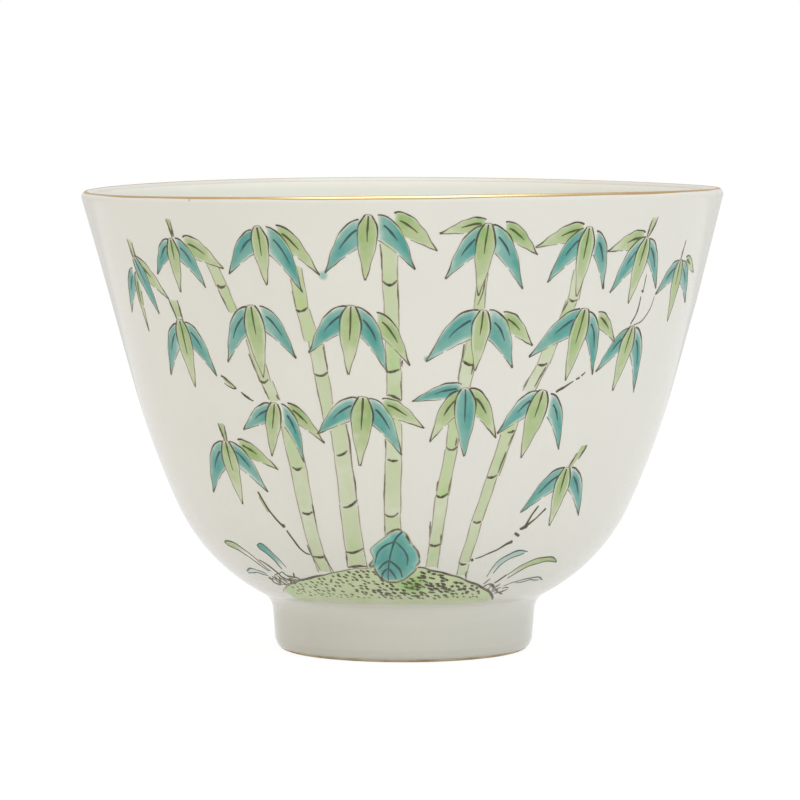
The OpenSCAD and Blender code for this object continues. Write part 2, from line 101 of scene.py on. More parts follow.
def place(
    tree: Tree, kind: str, inputs: Inputs = (), out: int | str = 0, **settings: object
) -> Socket | None:
    """Adds a shader node to a tree.

    Args:
        tree: where the node goes.
        kind: the node's type, without its prefix.
        inputs: a value, or the output that is linked, for each input in turn, or by name or number.
        out: the output that is wanted, by name or number.
        settings: the node's own properties.

    Returns:
        The wanted output, or None for a node without any.
    """
    node = tree.nodes.new("ShaderNode" + kind)
    for name, value in settings.items():
        setattr(node, name, value)
    for name, value in inputs.items() if isinstance(inputs, Mapping) else enumerate(inputs):
        if isinstance(value, Socket):
            tree.links.new(value, node.inputs[name])
        else:
            node.inputs[name].default_value = value
    return node.outputs[out] if node.outputs else None


def blank(name: str) -> tuple[Material, Tree, Socket]:
    """Makes a material with nothing in its tree but the piece's own coordinates.

    Args:
        name: what the material is called.

    Returns:
        The material, its tree and the coordinates, in metres.
    """
    material = bpy.data.materials.new(name)
    material.use_nodes = True
    tree = material.node_tree
    tree.nodes.clear()
    return material, tree, place(tree, "TexCoord", out="Object")


def per_metre(size_mm: float) -> float:
    """Scale of a noise whose clouds are that many millimetres across."""
    return 1 / (size_mm * MM)


def ease(low: float, high: float, value: float) -> float:
    """Smooth step from 0 at low to 1 at high."""
    share = min(1.0, max(0.0, (value - low) / (high - low)))
    return share * share * (3 - 2 * share)


class Colour(Enum):
    """The two leaf enamels."""

    TURQUOISE = "turquoise"
    GREEN = "green"


T = Colour.TURQUOISE
G = Colour.GREEN


class Slot(Enum):
    """The record's material slots."""

    CLAY = "porcelain"
    GLAZE = "clear_glaze"
    TURQUOISE = "turquoise_enamel"
    GREEN = "green_enamel"
    MOUND = "mound_enamel"
    BROWN = "brown_enamel"
    GOLD = "gold"


@dataclass(frozen=True)
class ClearGlaze:
    """Clear feldspar glaze over white porcelain: warm grey-white with a soft ripple, a few iron specks and
    painted shade lower down.
    """

    name: str = "porcelain_under_clear_glaze"
    white: str = GLAZE_WHITE
    cloud: str = "#dddcd3"
    # The low tint is painted shade: on the foot under the bowl, and inside below the lip.
    low: str = "#d2d1c7"
    shade_from_mm: float = 7.2
    shade_to_mm: float = 4.0
    speck: str = "#b9ab93"
    speck_cell_mm: float = 5.0
    speck_edge: Span = (0.03, 0.055)
    speck_depth: float = 0.55
    bare_cells: float = 0.72
    cloud_mm: float = 9.0
    ripple_mm: float = 5.0
    ripple_height_mm: float = 0.012
    roughness: float = 0.09
    ior: float = 1.5

    def make(self) -> Material:
        """Builds the material.

        Returns:
            The glaze.
        """
        material, tree, spot = blank(self.name)
        cloud = place(tree, "TexNoise", {"Vector": spot, "Scale": per_metre(self.cloud_mm), "Detail": 3.0})
        tint = place(tree, "Mix", {0: cloud, 6: linear(self.white), 7: linear(self.cloud)}, **COLOURS)
        # Lower down the tint turns greyer on the foot and faintly green lower in the bowl: painted shade, on
        # the foot under the overhang of the bowl and inside below the lip.
        height = place(tree, "SeparateXYZ", (spot,), "Z")
        turn = place(tree, "MapRange", (height, self.shade_from_mm * MM, self.shade_to_mm * MM), **SOFT)
        tint = place(tree, "Mix", {0: turn, 6: tint, 7: linear(self.low)}, **COLOURS)
        # Specks are a tenth of a millimetre in the ware; they are drawn twice that so that they show.
        cell = place(tree, "TexVoronoi", {"Vector": spot, "Scale": per_metre(self.speck_cell_mm)}, "Distance")
        dot = place(tree, "MapRange", (cell, *self.speck_edge, self.speck_depth, 0.0), **SOFT)
        draw = cell.node.outputs["Color"]
        few = place(tree, "Math", (draw, self.bare_cells), operation="GREATER_THAN")
        share = place(tree, "Math", (dot, few), operation="MULTIPLY")
        colour = place(tree, "Mix", {0: share, 6: tint, 7: linear(self.speck)}, **COLOURS)
        ripple = place(tree, "TexNoise", {"Vector": spot, "Scale": per_metre(self.ripple_mm), "Detail": 1.0})
        wave = {"Height": ripple, "Distance": self.ripple_height_mm * MM, "Strength": 0.5}
        bump = place(tree, "Bump", wave)
        coat = {"Base Color": colour, "Roughness": self.roughness, "IOR": self.ior, "Normal": bump}
        place(tree, "OutputMaterial", (place(tree, "BsdfPrincipled", coat),))
        return material


@dataclass(frozen=True)
class BareClay:
    """Unglazed porcelain of the foot ring: matt, and toasted brown where the kiln flame met the glaze."""

    name: str = "unglazed_fired_porcelain"
    clay: str = "#ddd0b2"
    toast: str = "#c3a678"
    toasts: Span = (0.38, 0.66)
    cloud_mm: float = 3.5
    grain_mm: float = 0.25
    grain_height_mm: float = 0.02
    roughness: float = 0.75

    def make(self) -> Material:
        """Builds the material.

        Returns:
            The clay.
        """
        material, tree, spot = blank(self.name)
        cloud = place(tree, "TexNoise", {"Vector": spot, "Scale": per_metre(self.cloud_mm), "Detail": 4.0})
        burnt = place(tree, "MapRange", (cloud, *self.toasts), **SOFT)
        colour = place(tree, "Mix", {0: burnt, 6: linear(self.clay), 7: linear(self.toast)}, **COLOURS)
        grain = place(tree, "TexNoise", {"Vector": spot, "Scale": per_metre(self.grain_mm), "Detail": 2.0})
        bump = place(tree, "Bump", {"Height": grain, "Distance": self.grain_height_mm * MM, "Strength": 0.4})
        clay = {"Base Color": colour, "Roughness": self.roughness, "Normal": bump}
        place(tree, "OutputMaterial", (place(tree, "BsdfPrincipled", clay),))
        return material


@dataclass(frozen=True)
class WornGildingWithPaintedHighlight:
    """Burnished gold, brushed on and fired, thin and ruddy at its edges: painted paler at the front as a
    painted highlight, and darker at the edges, the sides and the back, as rubbing and painted shade.
    """

    name: str = "burnished_fired_gold"
    gold: str = "#ead3a0"
    rubbed_and_shaded: str = "#d2ae7a"
    rubs_and_shade: Span = (0.15, 0.85)
    wear_mm: float = 6.0
    stir: float = 0.3
    roughness: float = 0.24
    rubbed_roughness: float = 0.44

    def make(self) -> Material:
        """Builds the material. The mark on the mesh says where the gold is dulled: by rubbing, and as painted
        shade away from the painted highlight.

        Returns:
            The gold.
        """
        material, tree, spot = blank(self.name)
        worn = place(tree, "Attribute", out="Fac", attribute_name="worn")
        cloud = place(tree, "TexNoise", {"Vector": spot, "Scale": per_metre(self.wear_mm), "Detail": 4.0})
        stir = place(tree, "MapRange", (cloud, *NOISE, -self.stir, self.stir))
        # Where the mark is high the gold is darker and rougher: rubbing, and painted shade out of the painted
        # highlight.
        wear_and_shade = place(tree, "Math", (worn, stir), operation="ADD", use_clamp=True)
        thin = place(tree, "MapRange", (wear_and_shade, *self.rubs_and_shade), **SOFT)
        colour = place(tree, "Mix", {0: thin, 6: linear(self.gold), 7: linear(self.rubbed_and_shaded)}, **COLOURS)
        rough = place(tree, "MapRange", {0: wear_and_shade, 3: self.roughness, 4: self.rubbed_roughness})
        metal = {"Base Color": colour, "Metallic": 1.0, "Roughness": rough}
        place(tree, "OutputMaterial", (place(tree, "BsdfPrincipled", metal),))
        return material


@dataclass(frozen=True)
class Wash:
    """Overglaze enamel, a tinted glass brushed on and fired: deep where it pooled, thinning out to the glaze.

    Where it is deep it turns here and there to a second tint, as the brush took up more of one pigment.
    """

    name: str
    thin: str
    body: str
    deep: str
    patch: str
    cloud_mm: float = 1.6
    patch_mm: float = 2.4
    stir: float = 0.16
    fills: Span = (0.05, 0.5)
    deepens: Span = (0.45, 1.05)
    patches: Span = (0.42, 0.62)
    glaze: str = GLAZE_WHITE
    roughness: float = 0.14
    ior: float = 1.52

    def make(self) -> Material:
        """Builds the material. The marks pool and edge say how deep the enamel is and where it ends.

        Returns:
            The enamel.
        """
        material, tree, spot = blank(self.name)
        pool, edge = (place(tree, "Attribute", out="Fac", attribute_name=mark) for mark in WASH_MARKS)
        cloud = place(tree, "TexNoise", {"Vector": spot, "Scale": per_metre(self.cloud_mm), "Detail": 2.0})
        stir = place(tree, "MapRange", (cloud, *NOISE, -self.stir, self.stir))
        depth = place(tree, "Math", (pool, stir), operation="ADD")
        drift = place(tree, "TexNoise", {"Vector": spot, "Scale": per_metre(self.patch_mm), "Detail": 1.0})
        turn = place(tree, "MapRange", (drift, *self.patches), **SOFT)
        deep = place(tree, "Mix", {0: turn, 6: linear(self.deep), 7: linear(self.patch)}, **COLOURS)
        some = place(tree, "MapRange", (depth, *self.fills), **SOFT)
        much = place(tree, "MapRange", (depth, *self.deepens), **SOFT)
        pale = place(tree, "Mix", {0: some, 6: linear(self.thin), 7: linear(self.body)}, **COLOURS)
        full = place(tree, "Mix", {0: much, 6: pale, 7: deep}, **COLOURS)
        colour = place(tree, "Mix", {0: edge, 6: linear(self.glaze), 7: full}, **COLOURS)
        glass = {"Base Color": colour, "Roughness": self.roughness, "IOR": self.ior}
        place(tree, "OutputMaterial", (place(tree, "BsdfPrincipled", glass),))
        return material


@dataclass(frozen=True)
class BrownLine:
    """Manganese brown enamel drawn with a fine brush: near black where pressed, rusty where it runs dry.

    Under the green or turquoise washes it takes their tint.
    """

    name: str = "brown_enamel_brushwork"
    dark: str = "#464029"
    faint: str = "#b5a78e"
    under_green: str = "#50532c"
    under_turquoise: str = "#28565c"
    grain_mm: float = 0.5
    stir: float = 0.15
    roughness: float = 0.3

    def make(self) -> Material:
        """Builds the material. The marks press, leafy and teal say how dark and how tinted a line is.

        Returns:
            The enamel.
        """
        material, tree, spot = blank(self.name)
        press, leafy, teal = (place(tree, "Attribute", out="Fac", attribute_name=mark) for mark in LINE_MARKS)
        grain = place(tree, "TexNoise", {"Vector": spot, "Scale": per_metre(self.grain_mm), "Detail": 1.0})
        stir = place(tree, "MapRange", (grain, *NOISE, -self.stir, self.stir))
        load = place(tree, "Math", (press, stir), operation="ADD", use_clamp=True)
        bare = place(tree, "Mix", {0: load, 6: linear(self.faint), 7: linear(self.dark)}, **COLOURS)
        green = place(tree, "Mix", {0: leafy, 6: bare, 7: linear(self.under_green)}, **COLOURS)
        colour = place(tree, "Mix", {0: teal, 6: green, 7: linear(self.under_turquoise)}, **COLOURS)
        brown = {"Base Color": colour, "Roughness": self.roughness}
        place(tree, "OutputMaterial", (place(tree, "BsdfPrincipled", brown),))
        return material


def mixed(finish: ClearGlaze | BareClay | WornGildingWithPaintedHighlight | Wash | BrownLine) -> Material:
    """A field of the palette that makes a finish's material."""
    return field(default_factory=finish.make)


@dataclass(frozen=True)
class Palette:
    """Every finish on the cup, made once."""

    glaze: Material = mixed(ClearGlaze())
    # The inside is painted whiter than the outer glaze, as painted light falling into the bowl; its low tint
    # below the lip is painted shade.
    inside: Material = mixed(ClearGlaze("inner_glaze_with_painted_light", "#f3f0e8", "#f0eee5", "#e6e7df", 57.1, 56.0))
    clay: Material = mixed(BareClay())
    gold: Material = mixed(WornGildingWithPaintedHighlight())
    turquoise: Material = mixed(Wash("turquoise_leaf_enamel", "#b8d1c5", "#77aa9e", "#44968a", "#4b9992"))
    green: Material = mixed(Wash("yellow_green_leaf_enamel", "#cad2b2", "#afbe8d", "#7eab5f", "#95af65"))
    culm: Material = mixed(Wash("pale_green_culm_enamel", "#d0d6be", "#c1cca6", "#a3c581", "#b5c881", 3.0))
    mound: Material = mixed(Wash("grass_green_mound_enamel", "#d3dabf", "#c6d2a6", "#93c667", "#a1c36d", 4.0))
    rock: Material = mixed(Wash("blue_green_rock_enamel", "#9acabd", "#68aba0", "#469384", "#478c96"))
    line: Material = mixed(BrownLine())

    def leaf(self, colour: Colour) -> tuple[Material, Slot]:
        """The finish and the slot of a leaf enamel."""
        return (self.green, Slot.GREEN) if colour is G else (self.turquoise, Slot.TURQUOISE)


@dataclass(frozen=True)
class CupShape:
    """Sizes of the turned cup in millimetres and degrees, and the surfaces that follow from them."""

    rim_r: float = 40.0
    height: float = 57.5
    lip_r: float = 0.65
    flare: float = 15.3
    inner_flare: float = 17.0
    belly_z: float = 33.0
    inner_belly_z: float = 34.0
    hip_lean: float = 62.0
    belly_share: float = 0.56
    well_share: float = 0.5
    floor_z: float = 9.3
    floor_r: float = 10.0
    foot_r: float = 15.95
    foot_lean: float = 4.6
    foot_h: float = 4.8
    cove_r: float = 2.7
    foot_wall: float = 3.2
    recess_h: float = 5.2
    recess_round: float = 1.6
    foot_round: float = 1.3
    heel_round: float = 0.6
    bare_h: float = 0.42
    glaze_t: float = 0.25

    @staticmethod
    def inward(lean: float) -> Vector:
        """Way to the centre of curvature of a surface with that lean."""
        a = math.radians(lean)
        return Vector((-math.cos(a), math.sin(a)))

    @staticmethod
    def down(top: Vector, lean: float, z: float) -> Vector:
        """Point at a height on the straight line through a higher point with that lean."""
        return Vector((top.x - (top.y - z) * math.tan(math.radians(lean)), z))

    @staticmethod
    def two_arcs(start: Vector, end: Vector, leans: Span, share: float) -> tuple[float, float, float]:
        """Two arcs that lead smoothly from one point to another.

        Args:
            start: the lower point.
            end: the upper point.
            leans: the lean at the lower and at the upper point.
            share: how far from the upper lean to the chord's lean the arcs meet.

        Returns:
            The lean where they meet, the lower radius and the upper radius.
        """
        v = end - start
        meet = leans[1] + share * (math.degrees(math.atan2(v.x, v.y)) - leans[1])
        a0, a1, a2 = (math.radians(a) for a in (leans[0], meet, leans[1]))
        p = Vector((math.cos(a1) - math.cos(a0), math.sin(a0) - math.sin(a1)))
        q = Vector((math.cos(a2) - math.cos(a1), math.sin(a1) - math.sin(a2)))
        k = p.x * q.y - p.y * q.x
        return meet, (v.x * q.y - v.y * q.x) / k, (p.x * v.y - p.y * v.x) / k

    @cached_property
    def lip_c(self) -> Vector:
        """Centre of the rounded lip."""
        return Vector((self.rim_r - self.lip_r, self.height - self.lip_r))

    @cached_property
    def wall_low(self) -> Vector:
        """Foot of the straight outer wall."""
        top = self.lip_c - self.lip_r * self.inward(self.flare)
        return self.down(top, self.flare, self.belly_z)

    @cached_property
    def inner_low(self) -> Vector:
        """Foot of the straight inner wall."""
        top = self.lip_c + self.lip_r * self.inward(self.inner_flare)
        return self.down(top, self.inner_flare, self.inner_belly_z)

    @cached_property
    def cove_c(self) -> Vector:
        """Centre of the cove over the foot."""
        a = math.radians(self.foot_lean)
        return Vector((self.foot_r + self.foot_h * math.tan(a) + self.cove_r / math.cos(a), self.foot_h))

    @cached_property
    def hip_low(self) -> Vector:
        """Where the cove runs into the underside."""
        return self.cove_c + self.cove_r * self.inward(self.hip_lean)

    @cached_property
    def belly(self) -> tuple[float, float, float]:
        """Meeting lean, hip radius and belly radius of the outside."""
        return self.two_arcs(self.hip_low, self.wall_low, (self.hip_lean, self.flare), self.belly_share)

    @cached_property
    def hip_c(self) -> Vector:
        """Centre of the hip arc."""
        return self.hip_low + self.belly[1] * self.inward(self.hip_lean)

    @cached_property
    def belly_mid(self) -> Vector:
        """Where hip and belly arcs meet."""
        return self.hip_c - self.belly[1] * self.inward(self.belly[0])

    @cached_property
    def belly_c(self) -> Vector:
        """Centre of the belly arc."""
        return self.belly_mid + self.belly[2] * self.inward(self.belly[0])

    @cached_property
    def bare_turn(self) -> float:
        """Where the glaze ends on the rounded edge of the foot, in degrees from straight down."""
        return math.degrees(math.acos(1 - self.bare_h / self.foot_round))

    def lean_at(self, z: float) -> float:
        """Lean of the outer wall.

        Args:
            z: a height above the foot.

        Returns:
            Degrees from upright.
        """
        if z >= self.belly_z:
            return self.flare
        if z >= self.belly_mid.y:
            return math.degrees(math.asin((self.belly_c.y - z) / self.belly[2]))
        if z >= self.hip_low.y:
            return math.degrees(math.asin(min(1.0, (self.hip_c.y - z) / self.belly[1])))
        return math.degrees(math.asin((z - self.foot_h) / self.cove_r))

    def radius_at(self, z: float) -> float:
        """Radius of the glazed outer wall.

        Args:
            z: a height above the foot.

        Returns:
            The radius in millimetres.
        """
        if z >= self.belly_z:
            return self.wall_low.x + (z - self.belly_z) * math.tan(math.radians(self.flare))
        if z >= self.belly_mid.y:
            return self.belly_c.x + math.sqrt(self.belly[2] ** 2 - (self.belly_c.y - z) ** 2)
        if z >= self.hip_low.y:
            return self.hip_c.x + math.sqrt(max(self.belly[1] ** 2 - (self.hip_c.y - z) ** 2, 0.0))
        return self.cove_c.x - math.sqrt(self.cove_r**2 - (z - self.foot_h) ** 2)

    @staticmethod
    def sweep(centre: Vector, radius: float, first: float, last: float, steps: int) -> list[Vector]:
        """Points along an arc, by the angle from +X in degrees, without the last one."""
        angles = (math.radians(first + (last - first) * i / steps) for i in range(steps))
        return [centre + radius * Vector((math.cos(a), math.sin(a))) for a in angles]

    @staticmethod
    def run(first: Spot | Vector, last: Spot | Vector, steps: int) -> list[Vector]:
        """Points along a straight line, without the last one."""
        return [Vector(first).lerp(Vector(last), i / steps) for i in range(steps)]

    def outer_line(self, g: float) -> list[Vector]:
        """The outside from the bare band at the foot over the lip.

        Args:
            g: how far it is taken in.

        Returns:
            Points of radius and height.
        """
        meet, hip_r, belly_r = self.belly
        side = self.foot_r - g / math.cos(math.radians(self.foot_lean))
        rise = math.tan(math.radians(self.foot_lean))
        edge_c = Vector((self.foot_r - self.foot_round, self.foot_round))
        low, high = ((side + z * rise, z) for z in (self.foot_round, self.foot_h))
        wall_low = self.wall_low + g * self.inward(self.flare)
        wall_top = self.lip_c - (self.lip_r - g) * self.inward(self.flare)
        line = self.sweep(edge_c, self.foot_round - g, 270.0 + self.bare_turn, 360.0 - self.foot_lean, 8)
        line += self.run(low, high, 8)
        line += self.sweep(self.cove_c, self.cove_r + g, 180 - self.foot_lean, 180 - self.hip_lean, 16)
        line += self.sweep(self.hip_c, hip_r - g, -self.hip_lean, -meet, 28)
        line += self.sweep(self.belly_c, belly_r - g, -meet, -self.flare, 16)
        line += self.run(wall_low, wall_top, 28)
        line += self.sweep(self.lip_c, self.lip_r - g, -self.flare, 180 - self.inner_flare, 18)
        return line

    def inner_line(self, g: float) -> list[Vector]:
        """The hollow from the inside of the lip to the middle of the floor.

        Args:
            g: how much larger it is made.

        Returns:
            Points of radius and height.
        """
        edge = Vector((self.floor_r, self.floor_z))
        leans = (90.0, self.inner_flare)
        meet, well_r, throat_r = self.two_arcs(edge, self.inner_low, leans, self.well_share)
        well_c = edge + well_r * self.inward(90.0)
        throat_c = well_c - (well_r - throat_r) * self.inward(meet)
        top = self.lip_c + (self.lip_r - g) * self.inward(self.inner_flare)
        low = self.inner_low - g * self.inward(self.inner_flare)
        middle = Vector((0.0, self.floor_z - g))
        line = self.run(top, low, 24)
        line += self.sweep(throat_c, throat_r + g, -self.inner_flare, -meet, 16)
        line += self.sweep(well_c, well_r + g, -meet, -90.0, 24)
        line += self.run((self.floor_r, middle.y), middle, 6)
        return [*line, middle]

    def recess_line(self, g: float) -> list[Vector]:
        """The recess under the foot from its middle to the bare band.

        Args:
            g: how much larger it is made.

        Returns:
            Points of radius and height.
        """
        r = self.recess_round + g
        wall = self.foot_r - self.foot_wall + g
        top = self.recess_h + g
        end = Vector((wall, self.bare_h))
        line = self.run((0.0, top), (wall - r, top), 6)
        line += self.sweep(Vector((wall - r, top - r)), r, 90.0, 0.0, 10)
        line += self.run((wall, top - r), end, 4)
        return [*line, end]

    def bare_line(self) -> list[Vector]:
        """The unglazed ring that stands on the table, from the recess to the outside.

        Returns:
            Points of radius and height.
        """
        heel = self.foot_r - self.foot_wall + self.heel_round
        toe = self.foot_r - self.foot_round
        line = self.sweep(Vector((heel, self.heel_round)), self.heel_round, 180.0, 270.0, 8)
        line += self.run((heel, 0.0), (toe, 0.0), 4)
        line += self.sweep(Vector((toe, self.foot_round)), self.foot_round, 270.0, 270.0 + self.bare_turn, 8)
        return line


@dataclass(frozen=True)
class Wall:
    """The painted wall: turns a spot into a point, with the slight kiln warp of the lip."""

    shape: CupShape
    warp_from: float = 44.0
    narrow: float = 0.38
    tilt: float = 0.2
    saddle: float = 0.2
    twist: float = 0.14

    def turned(self, radius: float, z: float, azimuth: float) -> Vector:
        """Point of the ware, whose lip the kiln has drawn a little out of level, and in on one side.

        Args:
            radius: distance from the axis in millimetres.
            z: height in millimetres.
            azimuth: in degrees.

        Returns:
            The point in metres.
        """
        a = math.radians(azimuth)
        share = max(0.0, (z - self.warp_from) / (self.shape.height - self.warp_from))
        lift = self.tilt * math.sin(a) + self.saddle * math.cos(2 * a) + self.twist * math.sin(2 * a)
        radius -= self.narrow * share * max(0.0, math.sin(a)) ** 2 * min(1.0, radius / self.shape.wall_low.x)
        return Vector((radius * math.sin(a), -radius * math.cos(a), z + share**2 * lift)) * MM

    def spot(self, azimuth: float, z: float, lift: float) -> Vector:
        """Point over the outer wall, lifted off the glaze by so many millimetres."""
        out = -lift * self.shape.inward(self.shape.lean_at(z))
        return self.turned(self.shape.radius_at(z) + out.x, z + out.y, azimuth)

    def degrees_per_mm(self, z: float) -> float:
        """How much azimuth one millimetre round the wall is."""
        return math.degrees(1 / self.shape.radius_at(z))


def piece(name: str, mesh: Mesh, finish: Material, slot: Slot, stands_for: str | None = None) -> Body:
    """Puts a mesh in the scene as a piece of the cup.

    Args:
        name: the piece's name.
        mesh: its mesh, in metres.
        finish: its material.
        slot: the record's slot that the finish belongs to; it is not used.
        stands_for: the CAD node that it replaces, if any.

    Returns:
        The new object.
    """
    mesh.materials.append(finish)
    body = bpy.data.objects.new(name, mesh)
    bpy.context.scene.collection.objects.link(body)
    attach(body, ROOT)
    if stands_for:
        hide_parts(stands_for)
    return body


def solid(
    name: str, points: Sequence[Vector], faces: Sequence[Face], crease: float, **marks: Floats
) -> Mesh:
    """Makes a smooth mesh with its faces turned outward.

    Args:
        name: the mesh's name.
        points: its vertices in metres.
        faces: the vertices of each face.
        crease: edges sharper than this angle in degrees stay sharp.
        marks: values for each vertex, kept as attributes.

    Returns:
        The mesh.
    """
    made = bpy.data.meshes.new(name)
    made.from_pydata(points, [], faces)
    work = bmesh.new()
    work.from_mesh(made)
    bmesh.ops.recalc_face_normals(work, faces=work.faces)
    work.to_mesh(made)
    work.free()
    made.shade_smooth()
    made.set_sharp_from_angle(angle=math.radians(crease))
    for mark, values in marks.items():
        made.attributes.new(mark, "FLOAT", "POINT").data.foreach_set("value", values)
    return made


@dataclass
class Relief:
    """One piece of brushwork on the wall, gathered pad by pad and line by line.

    Each pad or line is closed, and its bottom is sunk into the glaze.
    """

    wall: Wall
    marks: tuple[str, ...] = WASH_MARKS
    points: list[Vector] = field(default_factory=list)
    faces: list[Face] = field(default_factory=list)
    values: list[Floats] = field(default_factory=list)
    sunk: float = -0.03
    margin: float = 0.004
    crease: float = 50.0

    def add(self, spot: Spot, lift: float, values: Floats) -> int:
        """Adds a vertex over a spot, with its marks.

        Args:
            spot: where it is.
            lift: how far it stands off the glaze in millimetres.
            values: its marks.

        Returns:
            The vertex's number.
        """
        self.points.append(self.wall.spot(*spot, lift))
        self.values.append(values)
        return len(self.points) - 1

    def pad(self, rows: int, across: int, cell: Callable[[int, int], Cell], ring: bool = False) -> None:
        """Adds a pad of enamel, whose margin dips under the glaze.

        Args:
            rows: how many rows its grid has.
            across: how many spots a row has.
            cell: gives a spot, its height over the margin and its marks, by row and by place in the row.
            ring: True if each row runs round and the last one closes the middle.
        """
        tops, lows = [], []
        for i in range(rows):
            cells = [cell(i, k) for k in range(across)]
            tops.append([self.add(spot, rise - self.margin, values) for spot, rise, values in cells])
            lows.append([self.add(spot, self.sunk, values) for spot, _, values in cells])
        pairs = [(j, (j + 1) % across) for j in range(across if ring else across - 1)]
        for i in range(rows - 1):
            for j, k in pairs:
                self.faces.append((tops[i][j], tops[i][k], tops[i + 1][k], tops[i + 1][j]))
                self.faces.append((lows[i][j], lows[i + 1][j], lows[i + 1][k], lows[i][k]))
            for j in () if ring else (0, across - 1):
                self.faces.append((tops[i][j], lows[i][j], lows[i + 1][j], tops[i + 1][j]))
        for i in (0,) if ring else (0, rows - 1):
            self.faces += [(tops[i][j], tops[i][k], lows[i][k], lows[i][j]) for j, k in pairs]
        if ring:
            self.faces += [tuple(tops[-1]), tuple(reversed(lows[-1]))]

    def ribbon(self, path: Row, widths: Floats, values: Sequence[Floats], low: float, high: float) -> None:
        """Adds a bead along a path.

        Args:
            path: spots along the line.
            widths: its width at each spot in millimetres.
            values: the marks at each spot.
            low: how far its two edges stand off the glaze.
            high: how far its crest does.
        """
        rings = []
        last = len(path) - 1
        for i, (azimuth, z) in enumerate(path):
            per_mm = self.wall.degrees_per_mm(z)
            back, ahead = path[max(i - 1, 0)], path[min(i + 1, last)]
            run = Vector(((ahead[0] - back[0]) / per_mm, ahead[1] - back[1]))
            run = run.normalized() if run.length > 1e-9 else Vector((1.0, 0.0))
            side = Vector((-run.y * per_mm, run.x)) * widths[i] / 2
            ring = (
                ((azimuth - side.x, z - side.y), low),
                ((azimuth, z), high),
                ((azimuth + side.x, z + side.y), low),
                ((azimuth, z), self.sunk),
            )
            rings.append([self.add(*corner, values[i]) for corner in ring])
        for a, b in zip(rings, rings[1:]):
            self.faces += [(a[k], a[(k + 1) % 4], b[(k + 1) % 4], b[k]) for k in range(4)]
        self.faces += [tuple(rings[0]), tuple(reversed(rings[-1]))]

    def mesh(self, name: str) -> Mesh:
        """Makes the mesh, with the marks as attributes."""
        marks = dict(zip(self.marks, zip(*self.values)))
        return solid(name, self.points, self.faces, self.crease, **marks)

    def done(self, node: str, finish: Material, slot: Slot) -> Body:
        """Turns the brushwork into the wash that stands for a CAD node."""
        return piece(node + "_wash", self.mesh(node), finish, slot, node)


@dataclass(frozen=True)
class Stroke:
    """How a line is drawn: its full width in millimetres, how dark it is, and how it swells on its way."""

    width: float
    press: float
    swell: Floats


